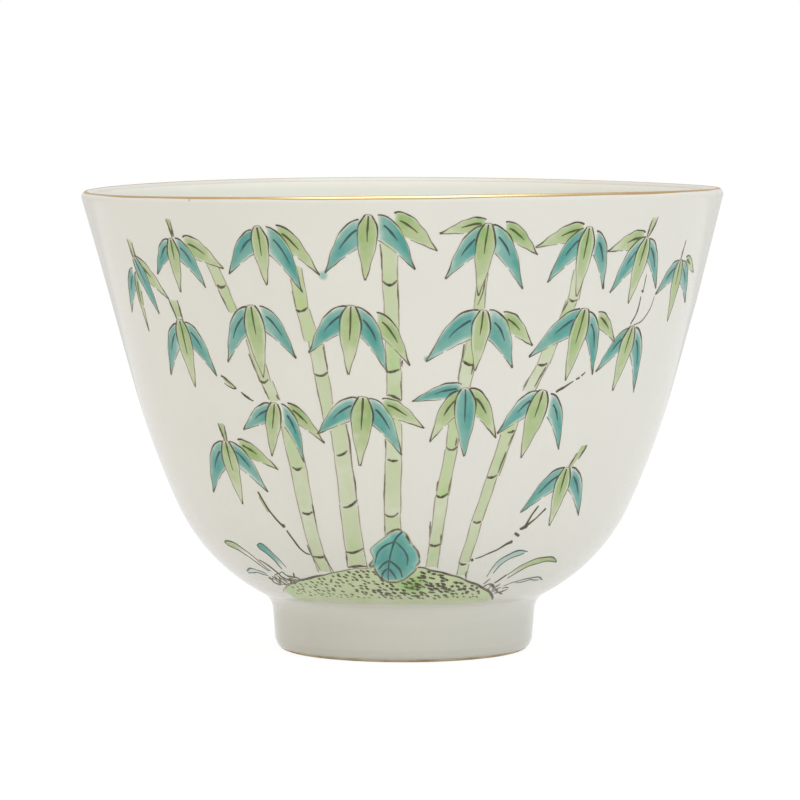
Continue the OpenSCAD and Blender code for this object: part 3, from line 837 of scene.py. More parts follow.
@dataclass
class Brush:
    """A fine brush loaded with brown enamel. Its lines swell, run dry and skip what is covered."""

    wall: Wall
    seed: int
    low: float = 0.034
    high: float = 0.05
    step: float = 0.3
    bend_steps: int = 14
    tremor: float = 0.035
    tremor_across: float = 1.6
    steady_mm: float = 6.0
    mm_per_degree: float = 0.6
    swing: Span = (0.75, 1.2)
    waver: float = 0.14
    dry: float = 0.25
    green_tint: float = 0.75
    turquoise_tint: float = 0.8

    def __post_init__(self) -> None:
        """Starts an empty drawing and a hand of its own."""
        self.relief = Relief(self.wall, LINE_MARKS)
        self.hand = random.Random(self.seed)

    def smooth(self, points: Row) -> list[Spot]:
        """Spots set close together on a smooth curve through a few.

        Args:
            points: the spots that the curve passes.

        Returns:
            Spots about one step apart.
        """
        knots = [Vector(p) for p in points]
        if len(knots) == 2:
            knots.insert(1, knots[0].lerp(knots[1], 0.5))
        if len(knots) == 3:
            a, b, c = knots
            pull = 2 * b - (a + c) / 2
            shares = [i / self.bend_steps for i in range(self.bend_steps + 1)]
            return [tuple((1 - t) ** 2 * a + 2 * t * (1 - t) * pull + t * t * c) for t in shares]
        knots = [2 * knots[0] - knots[1], *knots, 2 * knots[-1] - knots[-2]]
        per_mm = self.wall.degrees_per_mm(points[0][1])
        curve: list[Spot] = []
        for k in range(1, len(knots) - 2):
            p0, p1, p2, p3 = knots[k - 1 : k + 3]
            bend = 2 * p0 - 5 * p1 + 4 * p2 - p3
            turn = 3 * p1 - p0 - 3 * p2 + p3
            span = Vector(((p2.x - p1.x) / per_mm, p2.y - p1.y)).length
            steps = max(2, round(span / self.step))
            for i in range(steps + (k == len(knots) - 3)):
                t = i / steps
                curve.append(tuple(0.5 * (2 * p1 + (p2 - p0) * t + bend * t * t + turn * t**3)))
        return curve

    def line(
        self,
        points: Row,
        stroke: Stroke,
        under: Colour | None = None,
        covered: Cover | None = None,
        curved: bool = True,
    ) -> None:
        """Draws one stroke.

        Args:
            points: spots that it passes.
            stroke: its width and darkness.
            under: the leaf enamel that lies over it, if any.
            covered: tells which spots are hidden.
            curved: False if the spots are already close together.
        """
        path = self.smooth(points) if curved else list(points)
        last = len(path) - 1
        drift = self.hand.uniform(0, 6.28)
        long = math.hypot((path[-1][0] - path[0][0]) * self.mm_per_degree, path[-1][1] - path[0][1])
        shake = self.tremor * min(1.0, long / self.steady_mm)
        across = shake * self.tremor_across
        # The rates of the waves have no common step, so that a line never wavers evenly.
        path = [
            (x + across * math.sin(drift + i * 0.61), z + shake * math.sin(2 * drift + i * 0.83))
            for i, (x, z) in enumerate(path)
        ]
        runs: list[list[int]] = [[]]
        for i, spot in enumerate(path):
            if covered and covered(spot):
                runs.append([])
            else:
                runs[-1].append(i)
        tint = (self.green_tint if under is G else 0.0, self.turquoise_tint if under is T else 0.0)
        swell = [share * self.hand.uniform(*self.swing) for share in stroke.swell]
        for run in runs:
            if len(run) < 3:
                continue
            widths, values = [], []
            for i in run:
                share = i / last * (len(swell) - 1)
                k = min(int(share), len(swell) - 2)
                full = swell[k] + (swell[k + 1] - swell[k]) * (share - k)
                full *= 1 + self.waver * math.sin(drift + i * 0.9) * math.sin(drift * 2 + i * 0.37)
                widths.append(stroke.width * full)
                values.append((stroke.press * (self.dry + (1 - self.dry) * min(full, 1.0)), *tint))
            self.relief.ribbon([path[i] for i in run], widths, values, self.low, self.high)

    def lines(self, rows: Sequence[Row], stroke: Stroke, covered: Cover | None = None) -> None:
        """Draws several lines with one kind of stroke."""
        for row in rows:
            self.line(row, stroke, None, covered)

    def done(self, name: str, palette: Palette, stands_for: str | None = None) -> Body:
        """Turns the drawing into a piece."""
        return piece(name, self.relief.mesh(name), palette.line, Slot.BROWN, stands_for)


def between(points: Row, x: float) -> float:
    """Height of an outline at an azimuth.

    Args:
        points: the outline from left to right.
        x: the azimuth.

    Returns:
        The height in millimetres.
    """
    for (x0, z0), (x1, z1) in zip(points, points[1:]):
        if x <= x1:
            return z0 + (z1 - z0) * max(0.0, x - x0) / (x1 - x0)
    return points[-1][1]


def inside(points: Row, spot: Spot) -> bool:
    """Whether a spot lies in an outline.

    Args:
        points: the outline, which closes by itself.
        spot: the spot.

    Returns:
        True if it does.
    """
    x, z = spot
    found = False
    for (x0, z0), (x1, z1) in zip(points, [*points[1:], points[0]]):
        if (z0 > z) != (z1 > z) and x < x0 + (x1 - x0) * (z - z0) / (z1 - z0):
            found = not found
    return found


def lerp(a: Spot, b: Spot, share: float) -> Spot:
    """Spot at a share of the way from one spot to another."""
    return tuple(Vector(a).lerp(Vector(b), share))


FRONT_EDGE = Stroke(0.19, 0.95, (1.0, 1.1, 0.9, 0.5, 0.4, 0.4, 0.5, 0.8))
UPPER_EDGE = Stroke(0.19, 0.95, (1.0, 1.0, 0.75, 0.45, 0.4, 0.5, 0.7, 0.95))
LOWER_EDGE = Stroke(0.14, 0.8, (0.8, 0.7, 0.5, 0.4))
TIP_EDGE = Stroke(0.17, 0.9, (0.4, 0.5, 0.7, 0.8, 0.9))
MIDRIB = Stroke(0.25, 0.95, (0.8, 1.0, 1.0, 0.7, 0.35))


@dataclass(frozen=True)
class Laying:
    """How an enamel is laid on the leaves, on each a little differently.

    Along and side say where it pools, as shares of the leaf's length and half width. From there it runs
    along the leaf by its spread and thins to the sides by its fall. The brim is where its edge starts.
    """

    weight: float
    along: Span
    spread: float
    fall: float
    load: Span = (0.8, 1.1)
    side: Span = (-0.6, 0.6)
    brim: Span = (0.6, 0.88)


# Turquoise is laid on thicker, pools further down the leaf and thins more to the sides.
LAYINGS = {G: Laying(1.0, (0.05, 0.3), 0.45, 0.6), T: Laying(1.12, (0.1, 0.6), 0.5, 0.95)}


@dataclass(frozen=True)
class Leaf:
    """A lance-shaped leaf from base to tip.

    One that hangs in front has two like sides. One behind it bows up and out, and its base reaches down
    behind the front leaf.
    """

    colour: Colour
    base: Spot
    tip: Spot
    slim: float = 1.0
    front: bool = False
    plump: float = 0.31
    blunt: float = 0.38
    widest: float = 0.3
    bow: float = 0.15
    root: float = 0.38
    tuck_mm: float = 0.3
    reach: float = 1.04
    far: float = 16.0
    steps: int = 28
    across: int = 10
    end: float = 0.985
    edge_gap: tuple[int, int] = (9, 17)
    rib_reach: Span = (0.38, 0.52)
    rib_steps: int = 10

    @lru_cache(maxsize=None)
    def edges(self, wall: Wall) -> tuple[tuple[Spot, ...], tuple[Spot, ...]]:
        """Sets out the leaf.

        Args:
            wall: the wall it is on.

        Returns:
            The upper and the lower edge from base to tip, or the two sides of a front leaf.
        """
        per_mm = wall.degrees_per_mm((self.base[1] + self.tip[1]) / 2)
        base = Vector((self.base[0] / per_mm, self.base[1]))
        tip = base.lerp(Vector((self.tip[0] / per_mm, self.tip[1])), self.reach)
        way = math.copysign(1.0, tip.x - base.x)
        root = base.copy()
        if not self.front:
            base.x -= way * self.tuck_mm
            root = base - Vector((0, self.root * self.slim * (tip - base).length))
        run = tip - base
        out = way * Vector((-run.y, run.x))
        upper, lower = [], []
        for i in range(self.steps + 1):
            t = self.end * i / self.steps
            # The arch is fullest nearer the base.
            arch = 4 * t**0.75 * (1 - t) ** 1.4
            bows = (self.slim * self.bow * arch, 0.02 * arch)
            if self.front:
                half = self.slim * self.plump * self.width(t) / 2
                bows = (half, -half)
            a, b = base.lerp(tip, t) + bows[0] * out, root.lerp(tip, t) + bows[1] * out
            upper.append((a.x * per_mm, a.y))
            lower.append((b.x * per_mm, b.y))
        return tuple(upper), tuple(lower)

    def width(self, t: float) -> float:
        """Width of a front leaf.

        Args:
            t: a share of its length.

        Returns:
            A share of its full width.
        """
        if t < self.widest:
            return 1 - (1 - self.blunt) * (1 - t / self.widest) ** 2
        return 1 - ((t - self.widest) / (1 - self.widest)) ** 1.4

    def covers(self, wall: Wall, spot: Spot) -> bool:
        """Whether a spot lies on the leaf.

        Args:
            wall: the wall it is on.
            spot: the spot.

        Returns:
            True if it does. A spot that is far off is ruled out first.
        """
        if not (self.tip[1] - 1 < spot[1] < self.base[1] + 2 and abs(spot[0] - self.base[0]) < self.far):
            return False
        upper, lower = self.edges(wall)
        return inside(upper + lower[::-1], spot)

    def paint(self, wall: Wall, relief: Relief, lift: float) -> None:
        """Lays the leaf's wash, loaded and pooled a little differently in each leaf.

        Args:
            wall: the wall it is on.
            relief: where the wash goes.
            lift: how far it stands off the glaze.
        """
        hand = random.Random(f"{self.base} {self.tip}")
        laying = LAYINGS[self.colour]
        load = hand.uniform(*laying.load) * laying.weight
        side, along, brim = (hand.uniform(*span) for span in (laying.side, laying.along, laying.brim))
        upper, lower = self.edges(wall)

        def cell(i: int, k: int) -> Cell:
            """Part of the wash.

            Args:
                i: row from base to tip.
                k: place from one edge to the other.

            Returns:
                Spot, height over the margin and marks.
            """
            t = self.end * i / self.steps
            s = -1 + 2 * k / self.across
            rise = lift * (1 - s**14) * ease(0, 0.04, t) * ease(1, 0.95, t)
            deep = load * math.exp(-(((t - along) / laying.spread) ** 2))
            deep *= 1 - laying.fall * ((s - side) / (1 + abs(side))) ** 2
            rim = ease(1.0, brim, abs(s)) * ease(0.0, 0.05, t) * ease(1.0, 0.93, t)
            return lerp(upper[i], lower[i], k / self.across), rise, (0.18 + 0.66 * deep, 0.22 + 0.78 * rim)

        relief.pad(self.steps + 1, self.across + 1, cell)

    def draw(self, wall: Wall, brush: Brush, covered: Cover) -> None:
        """Draws the leaf's outline and midrib.

        Args:
            wall: the wall it is on.
            brush: the brush.
            covered: tells which spots lie behind another leaf.
        """
        upper, lower = self.edges(wall)
        if self.front:
            for edge in (upper, lower):
                brush.line(edge, FRONT_EDGE, None, covered, curved=False)
            middle = Vector(lerp(upper[0], lower[0], 0.5)) + Vector((0, 0.1))
            crown = Stroke(0.14, brush.hand.uniform(0.1, 0.7), (0.9, 0.7, 0.9))
            brush.line((upper[0], tuple(middle), lower[0]), crown)
        else:
            brush.line(upper, UPPER_EDGE, None, covered, curved=False)
            gap = brush.hand.randint(*self.edge_gap)
            brush.line(lower[:gap], LOWER_EDGE, None, covered, curved=False)
            brush.line(lower[gap + 1 :], TIP_EDGE, None, covered, curved=False)
        rib: list[Spot] = []
        reach = brush.hand.uniform(*self.rib_reach)
        first, start, drop = (0.01, 0.5, 0.0) if self.front else (0.08, 0.36, 0.14)
        for i in range(self.rib_steps + 1):
            at = (first + (reach - first) * i / self.rib_steps) * self.steps / self.end
            k = int(at)
            a, b = (lerp(edge[k], edge[k + 1], at - k) for edge in (upper, lower))
            rib.append(lerp(a, b, start + drop * i / self.rib_steps))
        brush.line(rib, MIDRIB, self.colour, covered, curved=False)


@dataclass(frozen=True)
class Spray:
    """Leaves that hang from one crown, from front to back."""

    leaves: tuple[Leaf, ...]

    def covers(self, wall: Wall, spot: Spot) -> bool:
        """Whether any leaf lies on a spot."""
        return any(leaf.covers(wall, spot) for leaf in self.leaves)


def spray(front: Leaf, *behind: Leaf) -> Spray:
    """A spray of leaves given from front to back."""
    return Spray((replace(front, front=True), *behind))


UPPER = (
    spray(
        Leaf(T, (-58.4, 49.7), (-54.2, 43.1), 0.85), Leaf(G, (-59.2, 48.2), (-59.8, 40.9), 0.9),
        Leaf(T, (-60.6, 48.4), (-65.6, 43), 0.9), Leaf(G, (-57.8, 49.9), (-50, 45), 0.8),
    ),
    spray(
        Leaf(G, (-45.6, 52.3), (-45.9, 46)), Leaf(T, (-46.8, 52.3), (-51.5, 48)),
        Leaf(T, (-44, 52.4), (-39.2, 46.7)), Leaf(G, (-42, 52.6), (-34.4, 49)),
    ),
    spray(
        Leaf(G, (-26, 54), (-25.6, 47.2)), Leaf(T, (-27, 53.6), (-33, 48.4)),
        Leaf(T, (-23.9, 54), (-18.8, 46.5)), Leaf(G, (-22, 54.2), (-15.3, 48.5), 0.8),
    ),
    spray(
        Leaf(G, (-6, 55.3), (-6.9, 47.9)), Leaf(T, (-7.4, 54.9), (-14, 48.8)),
        Leaf(T, (-4, 55.4), (1.8, 49.2)), Leaf(G, (-1.2, 55.6), (5.6, 51.3)),
    ),
    spray(
        Leaf(G, (14.5, 54.2), (13.6, 46.1), 0.9), Leaf(T, (13.8, 54.1), (7.5, 48.1)),
        Leaf(T, (15.9, 54.1), (21.8, 46.8), 0.9), Leaf(G, (18, 54.4), (24, 50.7), 0.9),
        Leaf(G, (13.6, 54.7), (6.3, 53.2), 0.8),
    ),
    spray(
        Leaf(G, (34, 53.6), (33.5, 45.7), 0.9), Leaf(T, (33, 53.5), (26.9, 47.5)),
        Leaf(T, (36.2, 53.2), (39.4, 46.5)), Leaf(G, (32.4, 54), (23.8, 51.5), 0.8),
    ),
    spray(
        Leaf(G, (48.6, 52.1), (47, 44.6)), Leaf(T, (47.7, 52.3), (41.5, 46)),
        Leaf(T, (49.9, 52.1), (54.6, 46.2), 0.9), Leaf(G, (47.3, 52.8), (39.2, 50.8), 0.9),
    ),
    spray(
        Leaf(G, (62, 49.2), (62.7, 42)), Leaf(T, (61, 49.2), (55.2, 45.4)),
        Leaf(T, (63.8, 49.1), (69.8, 44), 0.9), Leaf(G, (65, 49.6), (70.5, 47.6), 0.8),
    ),
)
MIDDLE = (
    spray(
        Leaf(G, (-48, 42.4), (-47.6, 34.5)), Leaf(T, (-49.8, 41.9), (-55, 35.7)),
        Leaf(T, (-46, 42.2), (-40.7, 36)),
    ),
    spray(
        Leaf(G, (-29.5, 44.5), (-29, 36.1)), Leaf(T, (-31, 44.4), (-36.8, 37.8)),
        Leaf(T, (-27.2, 44.5), (-21.4, 38.5)),
    ),
    spray(
        Leaf(G, (-9.7, 44.7), (-10.9, 36.7)), Leaf(T, (-11, 44.7), (-18.4, 39.2)),
        Leaf(T, (-8.2, 44.6), (-3.3, 37)), Leaf(G, (-4.6, 44), (1, 37.8), 0.9),
    ),
    spray(
        Leaf(G, (14.8, 44.1), (14, 37.1)), Leaf(T, (13.3, 44.2), (4.5, 38.3)),
        Leaf(T, (16.4, 44.2), (21.5, 37.4), 1.15), Leaf(G, (19.2, 43.9), (25.2, 39.9)),
    ),
    spray(
        Leaf(G, (36, 44), (34.2, 35.6), 0.9), Leaf(T, (35, 44), (25.2, 38.6), 0.9),
        Leaf(T, (37.6, 43.7), (40.8, 36.2)), Leaf(G, (39.9, 43.6), (45.2, 39.9), 0.9),
    ),
    spray(
        Leaf(G, (49.8, 41.5), (48, 34)), Leaf(T, (48.7, 41.4), (41.8, 36.4), 0.9),
        Leaf(T, (51.4, 41.4), (55.5, 33.6)),
    ),
)
LOWER = (
    spray(
        Leaf(G, (-27.3, 32.8), (-29.9, 26.5)), Leaf(T, (-28.5, 32.7), (-35.9, 29.5)),
        Leaf(T, (-25.2, 32.8), (-22.3, 25.9)), Leaf(G, (-23.8, 32.9), (-17.2, 28.3), 0.8),
    ),
    spray(
        Leaf(G, (-8.2, 33.8), (-9.6, 25.7)), Leaf(T, (-10, 33.7), (-18.2, 29.4)),
        Leaf(T, (-6.5, 33.7), (-0.6, 27)), Leaf(G, (-3.8, 33.6), (4, 30.2), 0.9),
    ),
    spray(
        Leaf(T, (12.3, 34.8), (13, 26.8)), Leaf(G, (11.1, 34.7), (5.6, 28.6)),
        Leaf(G, (13.9, 34.9), (19.6, 28.9)), Leaf(T, (11, 35.3), (1.8, 33.4), 0.8),
    ),
    spray(
        Leaf(G, (29.2, 34.3), (26.4, 26.4)), Leaf(T, (27.6, 34.3), (20.1, 29.4)),
        Leaf(T, (31.6, 33.9), (35.6, 27.2)),
    ),
    spray(
        Leaf(G, (-42, 27.8), (-42, 20.2)), Leaf(T, (-43.6, 27.8), (-51.2, 21.4)),
        Leaf(T, (-40.3, 27.8), (-33.4, 22)), Leaf(G, (-37.8, 28.1), (-29.2, 24.8), 0.8),
    ),
    spray(
        Leaf(G, (39.3, 24.6), (39, 17.6)), Leaf(T, (38, 24.7), (29.3, 19.5), 0.9),
        Leaf(T, (41.5, 24.6), (48.2, 18.6), 0.9),
    ),
)


@dataclass
class Foliage:
    """One tier of leaf sprays: its turquoise leaves, its green leaves and their brushwork."""

    name: str
    sprays: tuple[Spray, ...]
    wall: Wall
    seed: int
    drips: tuple[tuple[Spot, float], ...] = ()
    front_lift: float = 0.03
    back_lift: float = 0.02
    layer: float = 0.002
    drip_lift: float = 0.014
    drip_steps: int = 8

    def drip(self, relief: Relief, spot: Spot, size: float) -> None:
        """Lets a drop of turquoise run out past a leaf tip.

        Args:
            relief: the turquoise wash.
            spot: where it lies.
            size: its radius in millimetres.
        """
        per_mm = self.wall.degrees_per_mm(spot[1])
        steps = self.drip_steps

        def cell(i: int, k: int) -> Cell:
            """Part of the drop.

            Args:
                i: row from below.
                k: place from left to right.

            Returns:
                Spot, height over the margin and marks.
            """
            y = -0.98 + 1.96 * i / steps
            x = math.sqrt(1 - y * y) * (2 * k / steps - 1)
            at = (spot[0] + x * size * per_mm, spot[1] + y * size)
            return at, self.drip_lift * (1 - x * x - y * y), (0.34, 0.95 * ease(1.0, 0.35, math.hypot(x, y)))

        relief.pad(steps + 1, steps + 1, cell)

    def build(self, palette: Palette) -> list[Body]:
        """Paints the tier.

        Args:
            palette: the finishes.

        Returns:
            The three pieces.
        """
        washes = {colour: Relief(self.wall) for colour in Colour}
        brush = Brush(self.wall, self.seed)
        for group in self.sprays:
            for i, leaf in enumerate(group.leaves):
                lift = self.front_lift if i == 0 else self.back_lift - self.layer * i
                leaf.paint(self.wall, washes[leaf.colour], lift)
                front = Spray(group.leaves[:i])
                leaf.draw(self.wall, brush, lambda spot, front=front: front.covers(self.wall, spot))
        for spot, size in self.drips:
            self.drip(washes[T], spot, size)
        pieces = [washes[c].done(f"{self.name}_{c.value}_leaves", *palette.leaf(c)) for c in Colour]
        return [*pieces, brush.done(f"{self.name}_leaf_lines", palette)]


Internode = tuple[float, float, float, float, float, float]
CULM_EDGE = Stroke(0.12, 0.3, (0.8, 1.0, 0.6, 1.0, 0.8))
CULM_JOINT = Stroke(0.3, 0.95, (0.6, 0.9, 1.0, 0.9, 0.55))
CULM_STROKE = Stroke(0.2, 0.85, (0.5, 1.0, 0.8, 0.45))
STEM_STROKE = Stroke(0.25, 0.85, (0.5, 0.9, 1.0, 0.6))


@dataclass(frozen=True)
class Culm:
    """One bamboo stem, with the joints and the dark strokes that are brushed on it.

    An internode is top height, left and right azimuth, bottom height, left and right azimuth.
    """

    name: str
    internodes: tuple[Internode, ...]
    joints: tuple[Row, ...]
    strokes: tuple[Row, ...]


CULMS = (
    Culm(
        "left_culm",
        (
            (49.6, -38, -35.6, 46.9, -36.5, -34), (46.6, -36.4, -34, 43.9, -34.6, -32.6),
            (41, -32, -29, 35.7, -30.1, -27.5), (35.3, -29.8, -27, 33.4, -28.4, -25.9),
            (30.4, -26.6, -22.9, 25.1, -25.9, -22), (24.7, -25.9, -21.9, 19.6, -25.7, -21.9),
            (19.2, -25.6, -21.9, 14.1, -25.3, -21.7), (13.7, -25.4, -21.6, 12, -25.5, -21.4),
        ),
        (
            ((-36.3, 46.9), (-35.4, 46.6), (-34.4, 46.9)), ((-30, 35.5), (-29, 35.3), (-28, 35.7)),
            ((-25.3, 25.1), (-24.2, 24.8), (-23, 25.1)), ((-25, 19.5), (-23.7, 19.3), (-22.3, 19.6)),
            ((-25.5, 14), (-23.6, 13.8), (-21.6, 14)),
        ),
        (
            ((-31.6, 38.7), (-30.6, 36.8), (-29.7, 35.3)), ((-29.5, 34.9), (-29, 34.2), (-28.5, 33.4)),
            ((-26.6, 33.9), (-26.2, 33.3)), ((-36.2, 46.2), (-35.4, 45), (-34.8, 44)),
            ((-22, 20.6), (-21.9, 19.6), (-21.9, 18)), ((-25.8, 15.4), (-25.5, 14.2), (-24.6, 12.2)),
            ((-21.7, 14.4), (-21.5, 13.4), (-20.6, 12)),
        ),
    ),
    Culm(
        "inner_left_culm",
        (
            (49, -20.9, -18.4, 44.6, -20.3, -17.8), (44.1, -20.2, -17.6, 40.6, -19.2, -16.2),
            (40.2, -18.4, -15.4, 36.7, -17.9, -15), (36.2, -17.8, -14.9, 31.2, -16.7, -14.2),
            (30.6, -15.6, -11.9, 27.1, -15.1, -11.6), (26.6, -15.1, -11.5, 21, -15, -10.9),
            (20.4, -15.1, -10.8, 14.9, -15.3, -10.4), (14.5, -15.4, -10.4, 12.8, -15.8, -10.2),
        ),
        (
            ((-20.3, 44.2), (-19.3, 44), (-17.9, 44.5)), ((-17.9, 36.6), (-16.5, 36.3), (-15, 36.8)),
            ((-14.6, 26.7), (-13.4, 26.8), (-12.2, 27.3)), ((-14.3, 20.3), (-12.6, 20.5), (-10.8, 21.3)),
            ((-15.3, 14.7), (-13.2, 14.6), (-10.5, 15.2)), ((-15.8, 12.6), (-13.2, 12.8), (-10.2, 12.8)),
        ),
        (
            ((-12, 30.5), (-11.5, 28), (-11.3, 25.1)), ((-11.2, 24.8), (-11, 23), (-10.9, 21.4)),
            ((-17.8, 36), (-17.3, 33.8), (-16.8, 31.6)), ((-15.6, 39.8), (-15.2, 38.2), (-15.1, 37)),
            ((-20.6, 46.4), (-20.4, 45.2), (-20.2, 44.3)), ((-15.3, 14.6), (-15.6, 13.6), (-15.9, 12.7)),
        ),
    ),
    Culm(
        "centre_culm",
        (
            (52.2, -4.1, -1.1, 47.7, -3.8, -1.1), (47.2, -3.8, -1, 42.6, -3.5, -0.9),
            (42.2, -3.5, -0.9, 37.2, -3.4, -0.6), (36.7, -3.3, -0.4, 34.2, -3.4, -0.5),
            (33.7, -3.4, -0.4, 26.4, -3.9, -0.5), (25.9, -4, -0.5, 19.7, -4.6, -0.8),
            (19.2, -4.6, -0.9, 16.5, -4.6, -0.6),
        ),
        (
            ((-3.8, 47.7), (-2.5, 47.2), (-1.2, 47.8)), ((-3.5, 36.9), (-2.2, 36.9), (-0.9, 37.2)),
            ((-3.3, 34.1), (-2, 33.9), (-0.5, 33.4)), ((-3.5, 26.3), (-2.4, 26.1), (-1.3, 26.2)),
            ((-4.7, 19.6), (-3, 19.2), (-1.3, 19.7)),
        ),
        (
            ((-0.3, 38.3), (-0.4, 37.5)), ((-0.6, 35.8), (-0.5, 34.6), (-0.4, 33.5)),
            ((-3.9, 28.8), (-3.8, 27.3)), ((-4.2, 24.5), (-4.4, 22.5), (-4.6, 20.4)),
            ((-4.6, 18.2), (-4.7, 17.3)), ((-4.1, 52), (-3.9, 50), (-3.8, 48.2)),
            ((-1.1, 47.6), (-1, 45.4), (-0.9, 43.4)),
        ),
    ),
    Culm(
        "inner_right_culm",
        (
            (50, 13.2, 15.1, 44.6, 13, 14.9), (42, 12.3, 14.8, 38.1, 11.4, 14.2),
            (37.5, 11.2, 14, 35.2, 10.6, 13.2), (31.5, 9.3, 11.8, 27.8, 9, 11.5),
            (27.3, 8.9, 11.4, 22, 7.4, 10.3), (21.5, 7.3, 10.2, 15.9, 6.5, 9.5),
            (15.4, 6.5, 9.4, 12.8, 6.1, 9.4),
        ),
        (
            ((11.5, 38.2), (12.6, 37.7), (14, 37.7)), ((9, 27.8), (10.2, 27.4), (11.4, 27.8)),
            ((7.4, 21.9), (8.6, 21.6), (10.1, 22.1)), ((6.6, 15.7), (8, 15.5), (9.5, 15.8)),
        ),
        (
            ((11.9, 41.5), (11.3, 39), (10.7, 36)), ((13.7, 38), (13.3, 36.5)), ((11.2, 28.9), (11, 27.9)),
            ((10.7, 24), (10.1, 22.2)), ((7.6, 23.6), (7.4, 22.4)), ((6.4, 18.6), (6.4, 17.6), (6.5, 16.6)),
            ((9.3, 17), (9.4, 15.9)), ((14.8, 49), (14.4, 46.5), (13.6, 44.8)),
        ),
    ),
    Culm(
        "right_culm",
        (
            (48.5, 32, 34.6, 45.3, 31.7, 34.1), (44.9, 31.3, 33.8, 43, 30.4, 32.8),
            (40.5, 28.2, 31.2, 37.7, 27, 29.8), (37.2, 26.8, 29.5, 34.6, 24.5, 27.3),
            (30.4, 21.4, 24.4, 24.3, 18.9, 21.7), (23.7, 18.8, 21.3, 18.7, 16.6, 19.3),
            (18.1, 16.5, 19.2, 13.4, 15.2, 18.1), (12.8, 15.4, 18.3, 11.8, 15.6, 18.6),
        ),
        (
            ((32, 45.3), (32.8, 45), (33.8, 45.2)), ((27, 37.6), (28, 37.4), (29.2, 37.6)),
            ((22.3, 29.4), (23, 29.4), (23.8, 29.6)), ((18.8, 24), (20, 23.9), (21.2, 24.2)),
            ((17, 18.5), (18, 18.3), (19, 18.5)), ((15.2, 13.3), (16.4, 13), (17.6, 13.1)),
        ),
        (
            ((25.6, 36), (24.5, 34.8)), ((29, 37.2), (28, 36), (27, 34.8)), ((23.8, 29.3), (22.8, 27.8)),
            ((22.5, 27), (21.9, 25.7), (21.3, 24.4)), ((31.8, 45), (30.8, 43.6)),
            ((18.2, 12), (18.5, 11.5), (19, 11)),
        ),
    ),
)


@dataclass
class StemWash(Relief):
    """The pale wash of some internodes, each a little deeper at one end."""

    lift: float = 0.012
    row_mm: float = 0.5
    across: int = 8
    tone: Span = (0.25, 0.65)
    tilt: Span = (-0.3, 0.5)

    def lay(self, node: Internode, shade: random.Random, meet: float) -> None:
        """Lays the wash of one internode.

        Args:
            node: the internode.
            shade: picks how deep it is.
            meet: how far it runs on into its neighbours, in millimetres.
        """
        top, top_left, top_right, low, low_left, low_right = node
        tone = shade.uniform(*self.tone)
        tilt = shade.uniform(*self.tilt)
        steps = max(4, round((top - low) / self.row_mm))

        def cell(i: int, k: int) -> Cell:
            """Part of the wash.

            Args:
                i: row from the top.
                k: place from left to right.

            Returns:
                Spot, height over the margin and marks.
            """
            t = i / steps
            share = k / self.across
            off = abs(2 * share - 1)
            left = top_left + (low_left - top_left) * t
            right = top_right + (low_right - top_right) * t
            spot = (left + (right - left) * share, top + meet + (low - top - 2 * meet) * t)
            rise = self.lift * (1 - off**8) * ease(0, 0.06, t) * ease(1, 0.94, t)
            pool = (tone + tilt * (t - 0.5)) * (0.75 + 0.35 * (1 - off**3))
            return spot, rise, (pool, 0.65 + 0.35 * ease(1.0, 0.75, off))

        self.pad(steps + 1, self.across + 1, cell)


@dataclass
class Grove:
    """The five culms, behind the leaves and the rock."""

    culms: tuple[Culm, ...]
    wall: Wall
    hidden: Cover
    meet: float = 0.5
    edge_run: float = 0.2
    shade_seed: int = 11
    line_seed: int = 12

    def build(self, palette: Palette) -> list[Body]:
        """Paints the culms.

        Args:
            palette: the finishes.

        Returns:
            A wash for each culm, and one piece of brushwork.
        """
        shade = random.Random(self.shade_seed)
        brush = Brush(self.wall, self.line_seed)
        pieces = []
        for culm in self.culms:
            wash = StemWash(self.wall)
            for node in culm.internodes:
                wash.lay(node, shade, self.meet)
            pieces.append(wash.done(culm.name, palette.culm, Slot.GREEN))
            for top, top_left, top_right, low, low_left, low_right in culm.internodes:
                top, low = top + self.edge_run, low - self.edge_run
                sides = (((top_left, top), (low_left, low)), ((top_right, top), (low_right, low)))
                brush.lines(sides, CULM_EDGE, self.hidden)
            brush.lines(culm.joints, CULM_JOINT, self.hidden)
            brush.lines(culm.strokes, CULM_STROKE, self.hidden)
        return [*pieces, brush.done("culm_lines", palette)]


STEMS: tuple[Internode, ...] = (
    (52, -59.6, -57.9, 49.8, -59.4, -57.8), (54.8, -45.9, -44.5, 52.8, -45.5, -44.6),
    (44.8, -49.8, -47.2, 42.7, -48.8, -46.8), (30, -43.2, -41.2, 27.8, -42.4, -41.5),
    (27.3, 42.2, 43.9, 24.5, 39.7, 40.6), (54.5, 48.9, 50.5, 52.9, 48.4, 49.4),
    (35.5, -39.3, -38.7, 34.5, -37.2, -36.5), (21.2, -36.6, -35.7, 19.2, -34.8, -34),
)
STEM_LINES: tuple[Row, ...] = (
    ((-59.4, 52), (-59, 50.8), (-58.8, 49.6)), ((-57.9, 51.6), (-57.8, 49.7)),
    ((-45.8, 54.7), (-45.3, 53.6), (-45.1, 52.5)), ((-44.7, 54.4), (-44.7, 52.6)),
    ((-50, 45), (-49.4, 43.8), (-48.7, 42.5)), ((-47.4, 44.8), (-47.2, 43.6), (-47, 42.3)),
    ((49, 54.2), (48.7, 53.2), (48.5, 52.3)), ((50.6, 54.6), (49.9, 53.4), (48.9, 52.3)),
    ((62.4, 51.6), (62.2, 50.4), (62, 49.4)), ((-43, 30), (-42.6, 29), (-42.1, 27.7)),
    ((-41.3, 29.8), (-41.5, 27.8)), ((39.7, 24.5), (40.6, 25.6), (41.4, 26.4)),
    ((42.2, 25.6), (43.1, 26.5), (43.8, 27.3)),
)


